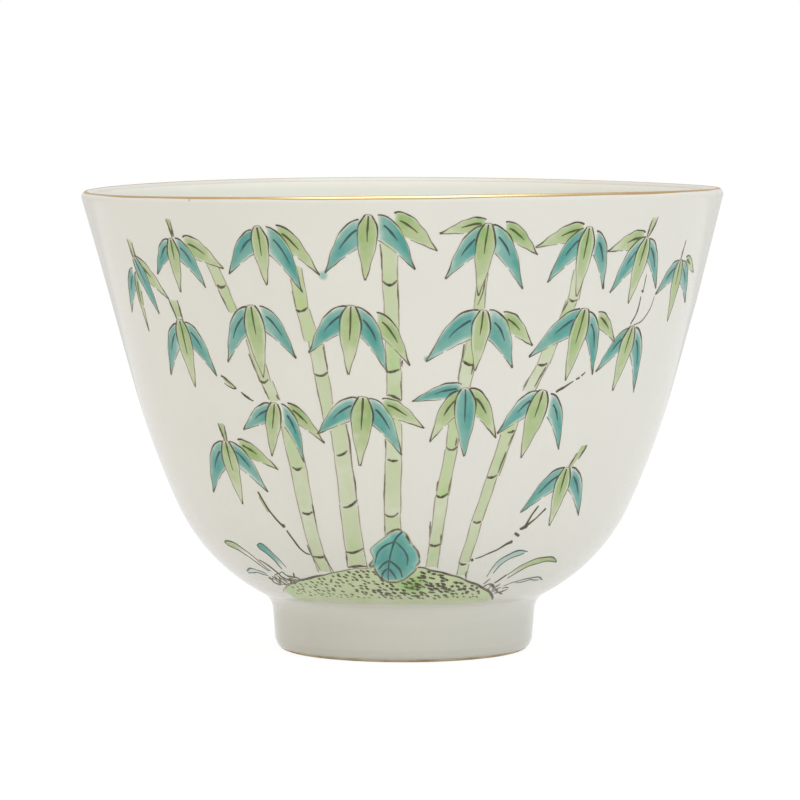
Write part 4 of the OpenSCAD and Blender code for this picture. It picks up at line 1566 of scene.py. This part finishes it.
@dataclass
class Stems:
    """The short green stems from which the outer sprays hang."""

    wall: Wall
    hidden: Cover
    meet: float = 0.1
    shade_seed: int = 21
    line_seed: int = 22

    def build(self, palette: Palette) -> list[Body]:
        """Paints the stems.

        Args:
            palette: the finishes.

        Returns:
            Their wash and their brushwork.
        """
        wash = StemWash(self.wall)
        shade = random.Random(self.shade_seed)
        for node in STEMS:
            wash.lay(node, shade, self.meet)
        brush = Brush(self.wall, self.line_seed)
        brush.lines(STEM_LINES, STEM_STROKE, self.hidden)
        return [wash.done("spray_stems", palette.green, Slot.GREEN), brush.done("stem_lines", palette)]


MOUND_EDGE = Stroke(0.24, 0.9, (0.1, 0.8, 1.0, 0.6, 0.4, 0.5, 0.9, 1.0, 1.1, 0.8))
ROCK_OUTLINE = Stroke(0.13, 0.35, (1.0, 0.8, 1.0))
ROCK_EDGE = Stroke(0.27, 0.9, (0.5, 1.0, 0.9, 0.6))
ROCK_VEIN = Stroke(0.25, 0.95, (0.8, 1.0, 0.9, 0.55))
BLADE_UPPER = Stroke(0.16, 0.8, (0.5, 0.6, 0.6, 0.9, 1.0, 0.8))
BLADE_LOWER = Stroke(0.16, 0.75, (0.7, 0.9, 0.7, 0.7, 0.8, 0.7))
ROOT_STROKE = Stroke(0.2, 0.95, (0.7, 1.0, 0.9, 0.6))
WISP_STROKE = Stroke(0.14, 0.5, (0.6, 1.0, 0.6))
DASH_SWELL = (0.6, 1.0, 0.7)
MOUND_TOP: Row = (
    (-47.2, 8.5), (-45, 9), (-40, 9.75), (-33, 10.6), (-27, 11.2), (-22, 11.7), (-16, 12.3), (-10, 12.6),
    (-3, 12.8), (4.5, 12.7), (8, 12.3), (15, 11.5), (20, 10.7), (25, 9.9), (29, 9.2), (32.5, 8.5),
    (34.8, 7.8),
)
ROCK: Row = (
    (-9.3, 13), (-8.2, 13.9), (-8.7, 15), (-6.5, 16), (-4, 16.9), (-2, 17.5), (-0.4, 17.4), (0.8, 17),
    (2, 15.9), (3.5, 15), (4.2, 14), (4.1, 13.4), (3.3, 12.9), (3.5, 12.4), (2, 11.7), (0, 11), (-3, 10.8),
    (-6, 11), (-8, 12), (-8, 12.6),
)
ROCK_VEINS: tuple[Row, ...] = (
    ((-0.4, 17.4), (-2.5, 16), (-3.7, 14), (-4.5, 12), (-4.6, 11)),
    ((-2.2, 16), (-3.5, 15.9), (-6.5, 14.9), (-7.9, 13.3)), ((-2, 16), (-0.3, 15.2), (1, 14), (0.9, 13)),
    ((-4, 13.6), (-5.5, 13.2), (-7, 12.5)), ((-4, 13.6), (-3, 13.3), (-1.2, 12.5), (-0.5, 11.4)),
    ((-4.5, 12.5), (-5.8, 12.1), (-6.4, 11.3)), ((-4.5, 12.5), (-3.5, 12.2), (-2.3, 11.2)),
)
ROCK_LINES: tuple[Row, ...] = (
    ((-4.3, 17), (-2, 17.6), (-0.4, 17.4)), ((0.5, 17.1), (1, 16.5), (1.6, 15.8)),
    ((2.3, 15.5), (3.6, 14.8), (4.2, 13.8)), ((4.2, 13.7), (4.1, 13.3), (3.2, 12.9)),
    ((3.6, 12.6), (2.6, 12), (1.5, 11.6), (0, 11.1)), ((0.2, 11.1), (-3, 10.7), (-5.5, 10.9)),
    ((-5.3, 10.9), (-7.2, 11.5), (-8.2, 12.5)), ((-7.9, 13), (-9.5, 12.9), (-8.4, 13.6)),
)


def on_rock(spot: Spot) -> bool:
    """Whether the rock lies over a spot."""
    return inside(ROCK, spot)


@dataclass(frozen=True)
class Blade:
    """A blade of grass: its two edges from root to tip, how much enamel it carries and where that starts."""

    colour: Colour
    upper: Row
    lower: Row
    load: float = 1.0
    fill_from: float = 0.0


BLADES = (
    Blade(
        G,
        ((-43.4, 11.4), (-45.5, 12.6), (-48, 13.8), (-51, 14.7), (-54, 15), (-55.8, 14.9), (-56.4, 14.6)),
        ((-44.3, 11.4), (-46.5, 12.3), (-49, 13.2), (-51.5, 13.8), (-54, 14.2), (-55.8, 14.4), (-56.4, 14.6)),
        fill_from=0.35,
    ),
    Blade(
        T, ((-36, 12.2), (-37, 13.2), (-38.5, 14.3), (-40.3, 15.1), (-41.6, 15.1), (-42.5, 14.8)),
        ((-38, 11.9), (-38.6, 12.7), (-39.6, 13.4), (-41, 14.1), (-42, 14.4), (-42.5, 14.7)),
    ),
    Blade(
        T, ((-46.5, 11), (-49, 11.3), (-51, 11.5), (-53.5, 11.4), (-56.5, 11)),
        ((-46.5, 10.8), (-49, 10.9), (-51, 11), (-53.5, 10.9), (-56.5, 10.7)), 0.3,
    ),
    Blade(
        T, ((25.4, 11.2), (25.9, 12.3), (27.4, 13.5), (30, 14.2), (32.7, 14.5), (35.2, 14.3)),
        ((27, 11.6), (28, 12.6), (29.8, 13.3), (31.5, 13.7), (33, 13.9), (34.2, 14.05)), 0.55,
    ),
    Blade(
        G, ((31, 10.7), (33.6, 11.8), (36.5, 12.7), (40, 13.2), (44, 13.3), (47.3, 13), (49.4, 12.5)),
        ((33.3, 10.8), (36, 11.7), (39, 12.3), (42, 12.6), (45, 12.7), (47.5, 12.6), (49.2, 12.4)),
    ),
    Blade(
        T, ((34.2, 9.7), (37, 10.2), (40, 10.4), (44, 10.6), (47, 10.5), (50, 10.1)),
        ((38, 10), (40, 10.1), (42, 10.2), (44, 10.3), (46, 10.2), (48, 10.1)), 0.1,
    ),
)
ROOT_LINES: tuple[Row, ...] = (
    ((-45, 12.9), (-42.6, 12.2), (-41, 11.3), (-40.4, 10.6), (-39.6, 10.2)),
    ((-44.8, 10.7), (-42.9, 10.2), (-40.9, 9.7)),
    ((-46.4, 10.6), (-46.3, 10.3), (-46.6, 9.9), (-45.6, 9.6), (-44.2, 9.6), (-43.6, 9.9)),
    ((-47.2, 10.4), (-46.3, 10.3), (-45.5, 10.4)),
    ((-38.5, 11.5), (-37.9, 11), (-36, 10.9), (-34.4, 10.9), (-33.2, 10.5), (-32, 10.6)),
    ((-35.4, 10.9), (-34.9, 11.2), (-34.6, 11.5)), ((-41.7, 10.7), (-42.6, 10.2), (-44.1, 9.8)),
    ((-39.2, 10.5), (-38, 10.5), (-37, 10.4), (-36.6, 9.95)),
    ((-40.8, 10.9), (-39.2, 10.5), (-38.4, 10.3), (-37, 9.9)),
    ((-38.9, 9.9), (-38.2, 10.2), (-36.8, 10.4), (-35.2, 10.3)),
    ((26.1, 9.7), (27.2, 10.1), (28, 10.15), (29.4, 10), (30.6, 9.7), (31.9, 9.3), (33.3, 8.9)),
    ((29.5, 10.3), (30.4, 10.55), (31.9, 11.3)), ((32.7, 8.8), (34.7, 8.85), (36.9, 9.2)),
    ((34.3, 8.9), (35.4, 8.7), (36.7, 8.55)), ((28, 10.1), (29.6, 9.8), (30.6, 9.5), (30.9, 9.1)),
    ((31.9, 9.4), (33, 9.1), (33.8, 8.8)), ((31, 9.7), (31.6, 9.9), (32, 10.1)),
)
ROOT_WISPS: tuple[Row, ...] = (
    ((-43.3, 10.9), (-41, 11.2), (-38.6, 11.5)), ((-45.3, 10.4), (-44.4, 10.1), (-44.6, 9.7)),
    ((-43.6, 10.8), (-43.2, 10.4), (-43.6, 10)), ((-42.2, 10.9), (-40.6, 10.2), (-39.8, 9.8)),
    ((-43.4, 9.7), (-42, 9.7), (-40.6, 9.6)), ((-37.6, 10.7), (-36, 10.6), (-34.6, 10.5)),
    ((25.7, 10.2), (26.3, 10.5), (27, 10.9)), ((29.2, 9.9), (28.8, 9.5), (29.8, 9.2)),
    ((31.4, 9), (32.2, 9.3), (33.2, 9.6)), ((34.4, 9.4), (35.6, 9.5), (36.8, 9.4)),
)


@dataclass
class Ground:
    """The mound, the rock on it and the grass at its two ends."""

    wall: Wall
    mound_low: float = 7.2
    mound_lift: float = 0.016
    mound_steps: tuple[int, int] = (120, 12)
    fresh_at: Spot = (2.5, 10.2)
    fresh_size: Span = (4.0, 1.1)
    left_fresh: Span = (-43.0, 5.0)
    dash_rows: int = 10
    dash_from: Spot = (-40.0, 8.5)
    dash_step: float = 0.4
    dash_gap: Span = (1.5, 2.6)
    dash_stray: Span = (0.5, 0.13)
    dash_slope: Span = (0.05, 0.28)
    dash_width: Span = (0.23, 0.34)
    dash_kept: float = 0.88
    rock_lift: float = 0.026
    rock_heart: Spot = (-2.6, 14.0)
    rock_rings: Floats = (1.0, 0.94, 0.85, 0.7, 0.5, 0.3, 0.12)
    blade_lift: float = 0.018
    blade_steps: tuple[int, int] = (30, 6)
    olive_roots: tuple[float, float] = (-42.0, 0.0)
    seed: int = 31

    def mound(self, palette: Palette) -> list[Body]:
        """Paints the mound with its outline and its rows of short dashes.

        Args:
            palette: the finishes.

        Returns:
            Its wash and its brushwork.
        """
        first, last = MOUND_TOP[0][0], MOUND_TOP[-1][0]
        steps, across = self.mound_steps
        (fresh_x, fresh_z), (wide, tall) = self.fresh_at, self.fresh_size
        left, left_wide = self.left_fresh

        def cell(i: int, k: int) -> Cell:
            """Part of the wash.

            Args:
                i: row from left to right.
                k: place from below.

            Returns:
                Spot, height over the margin and marks.
            """
            t = k / across
            x = first + 0.4 + (last - first - 0.8) * i / steps
            low = self.mound_low + 0.45 * ease(30, 50, abs(x + 7))
            z = low + (between(MOUND_TOP, x) - low) * t
            rise = self.mound_lift * ease(0, 0.12, t) * ease(1, 0.94, t) * ease(0, 0.02, i / steps)
            # The enamel is freshest by the rock and at the left end, and thin along its lower edge.
            fresh = math.exp(-(((x - fresh_x) / wide) ** 2) - ((z - fresh_z) / tall) ** 2)
            fresh += 0.22 * math.exp(-(((x - left) / left_wide) ** 2))
            fade = ease(first, first + 2.5, x) * ease(last, last - 3, x)
            pool = 0.56 + 0.55 * fresh - 0.34 * ease(0.4, 0.1, t)
            return (x, z), rise, (pool, fade * (0.3 + 0.7 * ease(0, 0.08, t)))

        wash = Relief(self.wall)
        wash.pad(steps + 1, across + 1, cell)
        brush = Brush(self.wall, self.seed)
        brush.line(MOUND_TOP, MOUND_EDGE, None, on_rock)
        for k in range(self.dash_rows):
            x = self.dash_from[0] + 0.9 * (k % 2)
            while x < last - 1:
                self.dash(brush, x, self.dash_from[1] + self.dash_step * k)
                x += brush.hand.uniform(*self.dash_gap)
        return [wash.done("mound", palette.mound, Slot.MOUND), brush.done("mound_dashes", palette)]

    def dash(self, brush: Brush, x: float, z: float) -> None:
        """Draws one dash near a spot of the mound, bolder in the middle and higher up.

        Args:
            brush: the brush.
            x: the azimuth.
            z: the height.
        """
        hand = brush.hand
        aside, up = self.dash_stray
        x, z = x + hand.uniform(-aside, aside), z + hand.uniform(-up, up)
        bold = 0.75 + 0.25 * ease(-30, 5, x) - 0.2 * ease(20, 30, x)
        bold *= 0.65 + 0.35 * ease(8.3, 9.4, z)
        middle = ease(-14, -4, x) * ease(24, 14, x)
        long = hand.uniform(0.34, 0.6 + 0.3 * middle) * bold
        run = long * self.wall.degrees_per_mm(z) / 2
        if z < between(MOUND_TOP, x) - 0.25 and not on_rock((x, z)) and hand.random() < self.dash_kept:
            drop = long * hand.uniform(*self.dash_slope)
            stroke = Stroke(hand.uniform(*self.dash_width) * bold, 1.1 * bold, DASH_SWELL)
            brush.line(((x - run, z + drop), (x + run, z - drop)), stroke, None, on_rock)

    def rock(self, palette: Palette) -> list[Body]:
        """Paints the rock in rings from its outline to its middle, with its veins and its scalloped edge.

        Args:
            palette: the finishes.

        Returns:
            Its wash and its brushwork.
        """
        brush = Brush(self.wall, self.seed + 1)
        outline = brush.smooth([*ROCK, ROCK[0]])[:-1]
        mid_x, mid_z = self.rock_heart

        def cell(i: int, k: int) -> Cell:
            """Part of the wash.

            Args:
                i: ring from the outline to the middle.
                k: place round it.

            Returns:
                Spot, height over the margin and marks.
            """
            share = self.rock_rings[i]
            x, z = mid_x + (outline[k][0] - mid_x) * share, mid_z + (outline[k][1] - mid_z) * share
            # The left side is deeper low down and paler towards its top.
            pool = 0.35 + 0.5 * ease(1.0, 0.55, share) - 0.05 * (z - 13) * (x < -3)
            rise = self.rock_lift * ease(1.0, 0.9, share)
            return (x, z), rise, (pool, 0.55 + 0.45 * ease(1.0, 0.88, share))

        wash = Relief(self.wall)
        wash.pad(len(self.rock_rings), len(outline), cell, ring=True)
        brush.line([*ROCK, ROCK[0]], ROCK_OUTLINE)
        brush.lines(ROCK_LINES, ROCK_EDGE)
        for vein in ROCK_VEINS:
            brush.line(vein, ROCK_VEIN, T)
        return [wash.done("rock", palette.rock, Slot.TURQUOISE), brush.done("rock_veins", palette)]

    def blade(self, blade: Blade, wash: Relief, brush: Brush) -> None:
        """Paints one blade of grass, deeper towards its tip.

        Args:
            blade: the blade.
            wash: where its enamel goes.
            brush: the brush for its two edges.
        """
        edges = brush.smooth(blade.upper), brush.smooth(blade.lower)
        steps, across = self.blade_steps

        def cell(i: int, k: int) -> Cell:
            """Part of the wash.

            Args:
                i: row from root to tip.
                k: place from one edge to the other.

            Returns:
                Spot, height over the margin and marks.
            """
            t = i / steps
            off = abs(2 * k / across - 1)
            a, b = (edge[round(t * (len(edge) - 1))] for edge in edges)
            rise = self.blade_lift * (1 - off**6) * ease(0, 0.05, t) * ease(1, 0.97, t)
            fill = ease(blade.fill_from, blade.fill_from + 0.4, t)
            return lerp(a, b, k / across), rise, (0.25 + 0.65 * t * (1 - 0.4 * off), blade.load * fill)

        wash.pad(steps + 1, across + 1, cell)
        brush.line(blade.upper, BLADE_UPPER, blade.colour)
        brush.line(blade.lower, BLADE_LOWER, blade.colour)

    def grass(self, palette: Palette) -> list[Body]:
        """Paints the blades of grass and the tangle at their roots.

        Args:
            palette: the finishes.

        Returns:
            Their two washes and their brushwork.
        """
        brush = Brush(self.wall, self.seed + 2)
        washes = {colour: Relief(self.wall) for colour in Colour}
        for blade in BLADES:
            self.blade(blade, washes[blade.colour], brush)
        pieces = [washes[colour].done(f"{colour.value}_grass", *palette.leaf(colour)) for colour in (G, T)]
        left, right = self.olive_roots
        for root in ROOT_LINES:
            brush.line(root, ROOT_STROKE, G if left < root[0][0] < right else None)
        for wisp in ROOT_WISPS:
            brush.line(wisp, WISP_STROKE, G)
        return [*pieces, brush.done("grass_lines", palette)]

    def build(self, palette: Palette) -> list[Body]:
        """Paints the ground and gives its pieces."""
        return self.mound(palette) + self.rock(palette) + self.grass(palette)


TWIGS: tuple[tuple[Row, float, Floats], ...] = (
    (
        ((-36.1, 21.8), (-35.2, 20.7), (-34.2, 19.5), (-33, 18.6), (-31.4, 17.7)), 0.3,
        (1.0, 0.9, 0.7, 0.8, 0.8),
    ),
    (((-31.5, 17.8), (-30.8, 17.5)), 0.45, (0.7, 1.0, 0.7)),
    (
        ((-30.5, 17.1), (-29.7, 16.2), (-28.5, 15), (-27, 14.3), (-25.9, 14.1)), 0.26,
        (0.7, 0.9, 1.0, 0.9, 0.6),
    ),
    (((19.7, 13.7), (22, 14.1), (25, 14.7), (27.5, 15.4), (29, 15.7)), 0.25, (0.6, 0.6, 0.7, 1.0, 1.7)),
    (((18.6, 13.7), (19.1, 13.4)), 0.33, (0.7, 1.0, 0.7)),
    (((29, 16.8), (29.7, 16.6), (30.5, 16.4)), 0.38, (0.8, 1.0, 0.8)),
    (((30.1, 17.3), (31, 17.4), (31.9, 17.7)), 0.41, (0.5, 1.0, 1.1)),
    (((31.5, 17.6), (32.4, 18.8), (33.8, 20.1)), 0.25, (1.2, 1.0, 0.9, 0.9)),
    (((31.8, 17.7), (34.2, 18.6), (36.2, 19.7)), 0.25, (1.2, 1.0, 0.8, 1.0)),
    (((50.7, 47.8), (50.7, 45.9)), 0.15, (0.5, 0.8, 0.7)),
    (((50.2, 45.9), (50.8, 45.7)), 0.28, (0.8, 1.0, 0.8)),
    (((50.3, 45.2), (50.2, 43.4), (49, 41.9)), 0.19, (0.6, 1.0, 0.9)),
    (((54.9, 45), (54.3, 43.6), (52.5, 42.2), (50, 41.7)), 0.18, (0.4, 0.7, 1.0, 0.9)),
    (((-39.4, 35.9), (-37.8, 35.3), (-36, 34.4)), 0.26, (0.7, 1.0, 0.9, 0.6)),
    (((-38.9, 35), (-37.4, 34.5), (-36.2, 34.4)), 0.16, (0.4, 0.8, 1.0)),
    (((-34.9, 34), (-33.6, 33.4), (-32.2, 33)), 0.26, (0.7, 1.0, 0.8, 0.5)),
    (((32.3, 34.1), (34, 34.6), (36.2, 35.3)), 0.28, (0.9, 1.0, 0.9, 0.5)),
    (((36.8, 35.5), (37.6, 35.7)), 0.28, (0.8, 1.0, 0.8)),
    (((38, 35.9), (38.9, 36.3)), 0.2, (0.8, 1.0, 0.5)),
)


@dataclass
class Twigs:
    """The bare twigs that carry the outer sprays: spots, width and swell of each stroke."""

    wall: Wall
    press: float = 0.92
    seed: int = 41

    def build(self, palette: Palette) -> list[Body]:
        """Draws the twigs.

        Args:
            palette: the finishes.

        Returns:
            Their one piece.
        """
        brush = Brush(self.wall, self.seed)
        for spots, width, swell in TWIGS:
            brush.line(spots, Stroke(width, self.press, swell), G)
        return [brush.done("twig_strokes", palette, "twigs")]


@dataclass
class TurnedCup:
    """The thrown porcelain, its three coats of glaze and its gilded lip.

    The waves of the gilding's lower edge are their size, how many go round the lip and where they start.
    """

    wall: Wall
    segments: int = 288
    crease: float = 40.0
    gilt_t: float = 0.05
    gilt_sunk: float = 0.04
    gilt_drop: float = 0.34
    gilt_side_drop: float = 0.12
    gilt_end: float = 97.0
    gilt_waves: tuple[tuple[float, int, float], ...] = ((0.03, 3, 1.0), (0.03, 7, 2.0), (0.02, 17, 0.0))
    gilt_steps: int = 14

    def lathe(self, name: str, loop: Sequence[Vector], closed: bool) -> Mesh:
        """Turns a section round the axis.

        Args:
            name: the mesh's name.
            loop: points of radius and height.
            closed: True for a ring; False for a section that starts and ends on the axis.

        Returns:
            A closed mesh.
        """
        n = self.segments
        rows = list(loop) if closed else list(loop[1:-1])
        points = [self.wall.turned(p.x, p.y, 360 * i / n) for p in rows for i in range(n)]
        faces: list[Face] = []
        for j in range(len(rows) if closed else len(rows) - 1):
            a, b = j * n, (j + 1) % len(rows) * n
            faces += [(a + i, a + (i + 1) % n, b + (i + 1) % n, b + i) for i in range(n)]
        for end, row in () if closed else ((loop[0], 0), (loop[-1], len(rows) - 1)):
            pole = len(points)
            points.append(self.wall.turned(0.0, end.y, 0.0))
            faces += [(pole, row * n + i, row * n + (i + 1) % n) for i in range(n)]
        return solid(name, points, faces, self.crease)

    def gilding(self) -> Mesh:
        """The gold line over the lip, with the unsteady edges that the brush left.

        Returns:
            A closed mesh with its dulling mark, which is highest at the edges, the sides and the back, and
            lowest at the front, where the painted highlight falls.
        """
        shape = self.wall.shape
        n, steps = self.segments * 2, self.gilt_steps
        points: list[Vector] = []
        worn: list[float] = []
        for i in range(n):
            azimuth = 360 * i / n
            a = math.radians(azimuth)
            drop = self.gilt_side_drop + (self.gilt_drop - self.gilt_side_drop) * math.cos(a) ** 2
            drop += sum(size * math.sin(count * a + start) for size, count, start in self.gilt_waves)
            low = math.asin((shape.lip_r - drop) / shape.lip_r)
            high = math.radians(self.gilt_end + 6 * math.sin(5 * a + 0.5))
            # Painted highlight: the gold is kept pale just right of the front, where the lamp's glint falls;
            # round the sides and at the back it is dulled, by rubbing and as painted shade.
            rubbed_and_shaded = ease(0.12, 0.8, abs(math.sin(a - 0.12))) if math.cos(a) > 0 else 1.0
            shares = [k / steps for k in range(steps + 1)]
            turns = [low + (high - low) * share for share in shares]
            ways = [Vector((math.cos(turn), math.sin(turn))) for turn in turns]
            bulges = [shape.lip_r + self.gilt_t * math.sin(math.pi * share) ** 0.4 for share in shares]
            ring = [shape.lip_c + out * way for out, way in zip(bulges, ways)]
            ring += [shape.lip_c + (shape.lip_r - self.gilt_sunk) * way for way in reversed(ways)]
            points += [self.wall.turned(p.x, p.y, azimuth) for p in ring]
            # The edges of the line are dulled too: thin gold, and painted shade on its rounded edges.
            wear_and_shade = [max(0.85 * rubbed_and_shaded, abs(2 * share - 1) ** 3) for share in shares]
            worn += wear_and_shade + wear_and_shade[::-1]
        m = 2 * steps + 2
        faces = [
            (i * m + k, i * m + (k + 1) % m, (i + 1) % n * m + (k + 1) % m, (i + 1) % n * m + k)
            for i in range(n)
            for k in range(m)
        ]
        return solid("gilt_rim", points, faces, self.crease, worn=worn)

    def build(self, palette: Palette) -> list[Body]:
        """Turns the clay, coats it and gilds the lip.

        Args:
            palette: the finishes.

        Returns:
            The five pieces.
        """
        shape = self.wall.shape
        lines = (shape.outer_line, shape.inner_line, shape.recess_line)
        outer, inner, recess = (line(0.0) for line in lines)
        under_outer, under_inner, under_recess = (line(shape.glaze_t) for line in lines)
        body = under_recess + shape.bare_line() + under_outer + under_inner
        lip_seam = [inner[0], under_inner[0]]
        coats = (
            ("porcelain_body", body, False, palette.clay, Slot.CLAY),
            ("outer_glaze", outer + lip_seam + under_outer[::-1], True, palette.glaze, Slot.GLAZE),
            ("inner_glaze", under_inner[::-1] + inner, False, palette.inside, Slot.GLAZE),
            ("base_glaze", under_recess + recess[::-1], False, palette.glaze, Slot.GLAZE),
        )
        pieces = []
        for node, loop, closed, finish, slot in coats:
            pieces.append(piece(node + "_turned", self.lathe(node, loop, closed), finish, slot, node))
        pieces.append(piece("gilt_rim_line", self.gilding(), palette.gold, Slot.GOLD, "gilt_rim"))
        return pieces


@dataclass(frozen=True)
class Lamp:
    """A softbox: where it stands in metres, its width and height, its power in watts and its colour.

    One that is not mirrored stays out of the reflections, as behind a large diffuser.
    """

    name: str
    at: tuple[float, float, float]
    size: tuple[float, float]
    power: float
    colour: str
    mirrored: bool = False


def stand(name: str, data: bpy.types.ID, at: Floats, aim: Floats) -> Body:
    """Puts a camera or a lamp in the scene.

    Args:
        name: the object's name.
        data: the camera or the lamp.
        at: where it stands, in metres.
        aim: the point that it is turned to.

    Returns:
        The new object.
    """
    body = bpy.data.objects.new(name, data)
    body.location = at
    body.rotation_mode = "QUATERNION"
    body.rotation_quaternion = (Vector(aim) - Vector(at)).to_track_quat("-Z", "Y")
    bpy.context.scene.collection.objects.link(body)
    return body


@dataclass
class Studio:
    """Floor, soft light and camera."""

    eye: tuple[float, float, float] = (-0.00046, -0.6, 0.075)
    aim: tuple[float, float, float] = (-0.00046, 0.0, 0.03103)
    lit: tuple[float, float, float] = (0.0, 0.0, 0.03)
    lens: float = 217.17
    sensor: float = 36.0
    sky: float = 0.54
    mirrored: float = 0.45
    behind: float = 0.71
    behind_from: float = 0.25
    behind_to: float = 0.3
    paper: float = 0.95
    paper_white: float = 1.09
    paper_glow: float = 0.85
    floor_half: float = 6.0
    lamps: tuple[Lamp, ...] = (
        Lamp("right_softbox", (0.8, -0.6, 0.28), (0.6, 0.7), 2.9, "#fdfeff"),
        Lamp("left_softbox", (-0.8, -0.6, 0.28), (0.6, 0.7), 2.1, "#fff3e0"),
        Lamp("front_softbox", (0.0, -0.8, 0.85), (0.8, 0.8), 1.15, "#ffffff"),
        Lamp("top_softbox", (0.0, -0.1, 1.1), (0.9, 0.9), 4.5, "#ffffff", True),
    )

    def camera(self) -> None:
        """Sets up the camera at the eye, looking at the aim."""
        data = bpy.data.cameras.new("camera")
        data.lens = self.lens
        data.sensor_width = self.sensor
        data.clip_start = 0.01
        data.clip_end = 50.0
        bpy.context.scene.camera = stand("camera", data, self.eye, self.aim)

    def lights(self) -> None:
        """Hangs the softboxes round the cup, all turned to it."""
        for lamp in self.lamps:
            data = bpy.data.lights.new(lamp.name, "AREA")
            data.shape = "RECTANGLE"
            data.size, data.size_y = lamp.size
            data.energy = lamp.power
            data.color = linear(lamp.colour)[:3]
            stand(lamp.name, data, lamp.at, self.lit).visible_glossy = lamp.mirrored

    def surround(self) -> None:
        """A white surround to look at, and a plain level of light from it."""
        world = bpy.data.worlds.new("studio_white")
        bpy.context.scene.world = world
        world.use_nodes = True
        tree = world.node_tree
        tree.nodes.clear()
        looked = place(tree, "LightPath", out="Is Camera Ray")
        ray = looked.node.outputs
        mirrored = place(tree, "Math", (ray["Is Glossy Ray"], self.mirrored), operation="MULTIPLY")
        seen = place(tree, "Math", (looked, mirrored), operation="MAXIMUM")
        seen = place(tree, "Math", (seen, ray["Is Transmission Ray"]), operation="MAXIMUM")
        strength = place(tree, "MapRange", {0: seen, 3: self.sky, 4: 1.0})
        light = place(tree, "Background", {"Color": linear("#ffffff"), "Strength": strength})
        place(tree, "OutputWorld", (light,))

    def floor(self) -> None:
        """A wide pale floor that looks white and keeps a faint shadow."""
        mesh = bpy.data.meshes.new("floor")
        work = bmesh.new()
        bmesh.ops.create_grid(work, x_segments=1, y_segments=1, size=self.floor_half)
        work.to_mesh(mesh)
        work.free()
        body = bpy.data.objects.new("floor", mesh)
        bpy.context.scene.collection.objects.link(body)
        material, tree, spot = blank("white_paper_sweep")
        looked = place(tree, "LightPath", out="Is Camera Ray")
        glossy = looked.node.outputs["Is Glossy Ray"]
        # The paper well behind the cup is out of the light; only the edges of the glaze mirror it.
        away = place(tree, "SeparateXYZ", (spot,), "Y")
        dim = (away, self.behind_from, self.behind_to, self.paper, self.behind)
        glow = place(tree, "MapRange", dim)
        looked = place(tree, "Math", (looked, self.paper_glow), operation="MULTIPLY")
        share = place(tree, "Math", (looked, glossy), operation="MAXIMUM")
        bright = place(tree, "MapRange", {0: glossy, 3: self.paper_white, 4: glow})
        paper = place(tree, "BsdfDiffuse", {"Color": linear("#f4f4f4")})
        white = place(tree, "Emission", {"Color": linear("#ffffff"), "Strength": bright})
        place(tree, "OutputMaterial", (place(tree, "MixShader", (share, paper, white)),))
        mesh.materials.append(material)

    def build(self) -> None:
        """Sets up the whole studio."""
        bpy.context.scene.view_settings.view_transform = "Standard"
        self.camera()
        self.lights()
        self.surround()
        self.floor()


def main() -> None:
    """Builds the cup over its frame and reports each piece."""
    logging.basicConfig(level=logging.INFO, format="%(name)s %(message)s")
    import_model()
    palette = Palette()
    wall = Wall(CupShape())
    sprays = UPPER + MIDDLE + LOWER

    def hidden(spot: Spot) -> bool:
        """Whether a leaf or the rock lies over a spot."""
        return on_rock(spot) or any(group.covers(wall, spot) for group in sprays)

    assemblies = (
        TurnedCup(wall),
        Foliage("upper", UPPER, wall, 51, (((-14.5, 48.3), 0.75),)),
        Foliage("middle", MIDDLE, wall, 52, (((4.4, 38.4), 0.5),)),
        Foliage("lower", LOWER, wall, 53),
        Grove(CULMS, wall, hidden),
        Stems(wall, hidden),
        Ground(wall),
        Twigs(wall),
    )
    for assembly in assemblies:
        for body in assembly.build(palette):
            LOG.info("%s: %d faces", body.name, len(body.data.polygons))
    Studio().build()


if __name__ == "__main__":
    main()
